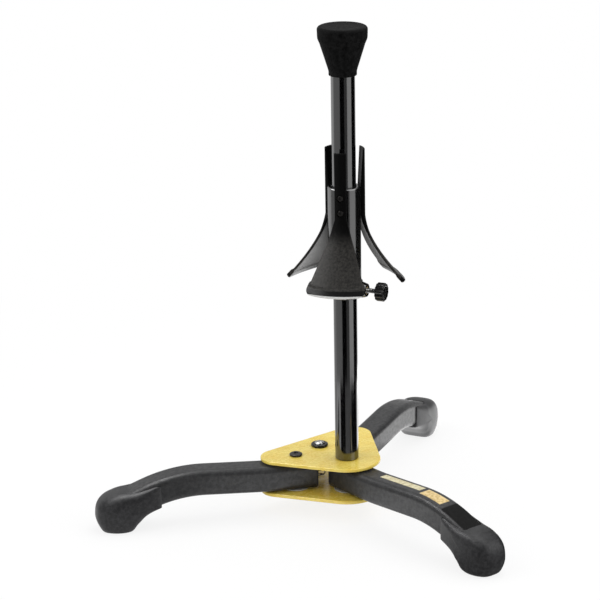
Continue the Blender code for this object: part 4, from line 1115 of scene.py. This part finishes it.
# %% Lock
place = upright(at(0, LOCK_Y))
shape = outline([(3.8, 41.2), (5.9, 41.2), (5.9, 39.5), (5.0, 39.5), (5.0, 36.5), (3.8, 36.5)],
                [0.3, 0.8, 0.2, 0.2, 0.4, 0.3], 4, True)
turned("lock_bezel", turned_nylon, shape, place, 72, closed=True)
shape = outline([(0, 42.8), (1.4, 42.7), (2.7, 42.3), (3.5, 41.5), (3.5, 36.2), (6.3, 36.2), (6.3, 33.2),
                 (2.3, 33.2), (2.3, 21.9), (1.8, 21.4), (0, 21.4)], 0.5, 5)
turned("lock_button", zinc, shape, place, 72)

COILS, COIL_R, WIRE_R = 5, 3.6 * MM, 0.4 * MM
spring_low, spring_high = 16.6 * MM, 32.5 * MM
turn_by = np.linspace(0, COILS * 2 * np.pi, COILS * 40 + 1)
radial = np.stack((np.cos(turn_by), np.sin(turn_by), 0 * turn_by), axis=1)
climb = np.linspace(spring_low, spring_high, len(turn_by))[:, None] * (0, 0, 1)
wire = np.linspace(0, 2 * np.pi, 12, endpoint=False)
section = WIRE_R * np.stack((np.cos(wire), np.sin(wire)), axis=1)
coil = inside(at(0, LOCK_Y) + carry(COIL_R * radial + climb, section, radial), "lock_spring")
spring = solid("lock_spring_form", patch(coil), cap(coil[0]), cap(coil[-1]))
stand_in(spring, "lock_spring", dark_zinc)
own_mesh(spring)

# %% [markdown]
# # The bell peg
# ## Sleeve
# The peg slides on the pole. Its sleeve is a thick nylon tube with a wider collar at the foot, three
# grooves that seat the fins, and a boss for the clamp screw on the right. It is turned first, and then
# the boss is added and everything else is cut away, in the order a workshop would use.

# %% Sleeve
FINS = {"front": 219.1, "right": 339.1, "left": 99.1}
FIN_SCREW_Z = 226.5, 216.5
GROOVE_Z = 208
SLEEVE_BORE_R, SLEEVE_TOP = 8.35, 232


def outwards(azimuth, z):
    """Turns points about +Z to point out of the pole at a height."""
    a = math.radians(azimuth)
    return frame_of(at(0, 0, z), (math.cos(a), math.sin(a), 0))


def groove(azimuth):
    """The block that is cut from the sleeve to seat a fin."""
    plan = np.array([(10.007, -4.65, 0), (14, -4.65, 0), (14, 4.65, 0), (10.007, 4.65, 0)]) @ spun(azimuth)
    grid = np.stack([(plan + (0, 0, z)) * MM + AXIS for z in (GROOVE_Z, SLEEVE_TOP + 2)])
    return solid("groove", patch(grid), cap(grid[0]), cap(grid[1]))


clamp_axis = outwards(298.0, 161.0)
shape = outline([(SLEEVE_BORE_R, SLEEVE_TOP), (11, SLEEVE_TOP), (11, 167.1), (12, 166), (12, 156),
                 (SLEEVE_BORE_R, 156)], [0.5, 1.0, 0.6, 0.6, 1.0, 0.5], 4, True)
sleeve = solid("peg_sleeve_form", patch(inside(lathe(shape) * MM + AXIS, "peg_sleeve"), wrap_rows=True))
cone = lathe(outline([(0, 8.95), (6.5, 8.95), (4.5, 16), (0, 16)], 0.5, 4), 64) * MM
combine(sleeve, solid("boss", patch(clamp_axis(cone))), "UNION")
combine(sleeve, rod(SLEEVE_BORE_R, 150, 240, upright(AXIS), 96))
combine(sleeve, rod(2.5, 2, 18, clamp_axis))
combine(sleeve, rod(3.2, 11.4, 18, clamp_axis))
for azimuth in FINS.values():
    combine(sleeve, groove(azimuth))
    for z in FIN_SCREW_Z:
        combine(sleeve, rod(1.5, 7, 14, outwards(azimuth, z), 24))
stand_in(sleeve, "peg_sleeve", sleeve_nylon)

# %% [markdown]
# ## The three fins
# The fins are what makes this stand: each starts as a thin finger above the sleeve, runs down it as a
# narrow bar and flares at the foot into a crowned petal that carries the rim of the bell. One sheet with
# two parameters gives the outer face. The inner face lies a wall further in, and both run together along
# a rounded rim: the wall's thickness follows a quarter circle near every edge.

# %% Fins
FIN_TOP, FIN_FLARE, FIN_FOOT = 257.5, 212.0, 166.6
BAR_OUT, FOOT_OUT = 14, 40
BAR_HALF, FOOT_HALF = 4.35, 22
BAR_CROWN, FOOT_CROWN = 14, 70
CORNER_SHARE, CORNER_RISE, BOW_RISE = 8 / 44, 4, 1.2
FIN_WALL, FINGER_WALL = 3, 1.3
LIP_TOP, THIN_TOP, THIN_RUN = 4.0, 5.2, 14
THIN_OUTSIDE, THIN_INSIDE, THIN_SIDE = 0.7, 0.4, 0.9


def eased(start, end, rim, middle):
    """Positions from start to end, crowded near both ends so that a quarter circle of this size can be
    drawn there, and the share of full thickness at each."""
    phi = np.radians(np.linspace(0, 90, 6))
    near = rim * (1 - np.cos(phi))
    inner = np.linspace(rim, abs(end - start) - rim, middle + 2)[1:-1]
    way = np.concatenate((near, inner, abs(end - start) - near[::-1]))
    share = np.concatenate((np.sin(phi), np.ones(middle), np.sin(phi)[::-1]))
    return start + np.sign(end - start) * way, share


def eased_step(value, start, end):
    """0 before start and 1 after end, joined by 3t^2 - 2t^3."""
    t = np.clip((value - start) / (end - start), 0, 1)
    return t * t * (3 - 2 * t)


def fin(azimuth):
    """Outer face: with u the way down the flare, the distance out is 14 + 26 u^1.6, the half width
    4.35 + 17.65 u and the crown's radius 14 + 56 u. Across, the foot's edge is bowed and its corners are
    rounded. Above a lip along the foot, the petal is thinner and a little narrower."""
    rows, row_share = eased(FIN_TOP, FIN_FOOT, 0.65, 170)
    columns, column_share = eased(0.0, 1.0, 0.06, 28)
    z, a = rows[:, None], (columns * 2 - 1)[None, :]
    flare = np.clip((FIN_FLARE - z) / (FIN_FLARE - FIN_FOOT), 0, 1)
    beyond = np.clip((np.abs(a) - 1 + CORNER_SHARE) / CORNER_SHARE, 0, 1)
    corner = CORNER_RISE * (1 - np.sqrt(1 - beyond ** 2))
    level = z + corner * flare ** 4 + BOW_RISE * a ** 2 * flare ** 2
    u = np.clip((FIN_FLARE - level) / (FIN_FLARE - FIN_FOOT), 0, None)
    crown = BAR_CROWN + (FOOT_CROWN - BAR_CROWN) * u
    thin = eased_step(z, FIN_FOOT + LIP_TOP, FIN_FOOT + THIN_TOP) * eased_step(FIN_FLARE - z, 0, THIN_RUN)
    turn = a * (BAR_HALF + (FOOT_HALF - BAR_HALF) * u - THIN_SIDE * thin) / crown
    out = BAR_OUT + (FOOT_OUT - BAR_OUT) * u ** 1.6 - crown * (1 - np.cos(turn))
    face = np.stack(np.broadcast_arrays(out, crown * np.sin(turn), level), axis=-1)
    normal = np.cross(np.gradient(face, axis=0), np.gradient(face, axis=1))
    normal = normal / np.linalg.norm(normal, axis=-1, keepdims=True)
    normal = normal * np.sign(normal[..., :1])
    wall = FIN_WALL - (FIN_WALL - FINGER_WALL) * np.clip((z - SLEEVE_TOP) / (FIN_TOP - SLEEVE_TOP), 0, 1)
    share = (row_share[:, None] * column_share[None, :])[..., None]
    half = np.broadcast_to(wall[..., None] / 2, share.shape)
    thin = np.broadcast_to(thin[..., None], share.shape) * share
    outer = face - normal * (half * (1 - share) + THIN_OUTSIDE * thin)
    inner = face - normal * (half * (1 + share) - THIN_INSIDE * thin)
    return [side @ spun(azimuth) * MM + AXIS for side in (outer, inner)]


def measure_lip(made, azimuth):
    """Stores at each point how far up the petal it lies. With (out, z) measured from the foot's edge beside
    it, that is 0.737 z - 0.676 out, because the petal falls at that slope there."""
    points = np.empty(len(made.data.vertices) * 3)
    made.data.vertices.foreach_get("co", points)
    spin = math.radians(azimuth)
    x, y, z = ((points.reshape(-1, 3) - AXIS) / MM).T
    out, sideways = x * math.cos(spin) + y * math.sin(spin), y * math.cos(spin) - x * math.sin(spin)
    turn = np.arcsin(np.clip(sideways / FOOT_CROWN, -0.9, 0.9))
    a = np.clip(np.abs(turn) * FOOT_CROWN / FOOT_HALF, 0, 1)
    beyond = np.clip((a - 1 + CORNER_SHARE) / CORNER_SHARE, 0, 1)
    foot_z = FIN_FOOT + CORNER_RISE * (1 - np.sqrt(1 - beyond ** 2)) + BOW_RISE * a ** 2
    foot_out = FOOT_OUT - FOOT_CROWN * (1 - np.cos(turn))
    distance = ((z - foot_z) * 0.737 - (out - foot_out) * 0.676) * MM
    stored = made.data.attributes.new("from_foot", "FLOAT", "POINT")
    stored.data.foreach_set("value", distance.astype(np.float32))


FIN_SCREW = outline([(0, 13.7), (1.7, 13.7), (2.2, 13.2), (2.2, 12.5), (1.2, 12.5), (1.2, 9.3), (0.2, 8.65),
                     (0, 8.65)], 0.25, 3)
for side, azimuth in FINS.items():
    node = f"{side}_fin"
    faces = [inside(face, node) for face in fin(azimuth)]
    made = solid(f"{node}_form", *[patch(face, wrap_columns=False) for face in faces], sharp=50)
    for k, z in enumerate(FIN_SCREW_Z):
        out = outwards(azimuth, z)
        combine(made, rod(2.5, 12.5, 15, out))
        combine(made, rod(1.5, 8, 15, out, 32))
        turned(f"{node}_screw_{k + 1}", oxide, refine(FIN_SCREW, 0.12), out, 72,
               both(cross_recess(1.2, 0.28, 13.7, -0.6), threaded(9.4, 12.4, 0.8, 0.25)))
    measure_lip(made, azimuth)
    stand_in(made, node, fin_nylon)

# %% [markdown]
# ## The clamp
# A fluted knob on a short threaded stud presses a brass pad on the pole, through a brass insert in the
# boss. All four share one axis that points out of the collar.

# %% Clamp
shape = outline([(0, 9.9), (2.2, 9.9), (2.2, 8.7), (1.8, 8.3), (0, 8.3)], 0.2, 3)
turned("clamp_pad", brass, shape, clamp_axis, 48)
turned("clamp_insert", brass, ring(2.05, 2.9, 11.7, 15.7, 0.2), clamp_axis, 48, closed=True)
shape = outline([(0, 27.1), (1.75, 27.1), (1.75, 10.7), (1.3, 10.2), (0, 10.2)], 0.2, 3)
turned("clamp_stud", zinc, refine(shape, 0.09), clamp_axis, 48, threaded(10.6, 26, 0.7, 0.3))


def fluted(radius, angle, height):
    """Twelve flutes: near the rim the radius shrinks by 0.35 (1 + cos 12 a), fading towards the faces."""
    rim = np.clip((radius - 5.2) / 0.8, 0, 1)
    return radius - 0.35 * (1 + np.cos(12 * angle)) * rim, height


shape = outline([(0, 28.75), (3.9, 28.7), (4.6, 29), (6.3, 29), (6.3, 23), (2.05, 23), (2.05, 27.4),
                 (0, 27.4)], [0, 0.8, 0.8, 0.9, 0.7, 0.3, 0.2, 0], 5)
turned("clamp_knob", turned_nylon, refine(shape, 0.5), clamp_axis, 144, fluted)

# %% [markdown]
# # Check and finish
# Every node now has a finer piece that stands for it.

# %% Finish
left_plain = [node for node, piece in frame["nodes"].items() if not piece.hide_render]
print("nodes still shown plain:", left_plain)
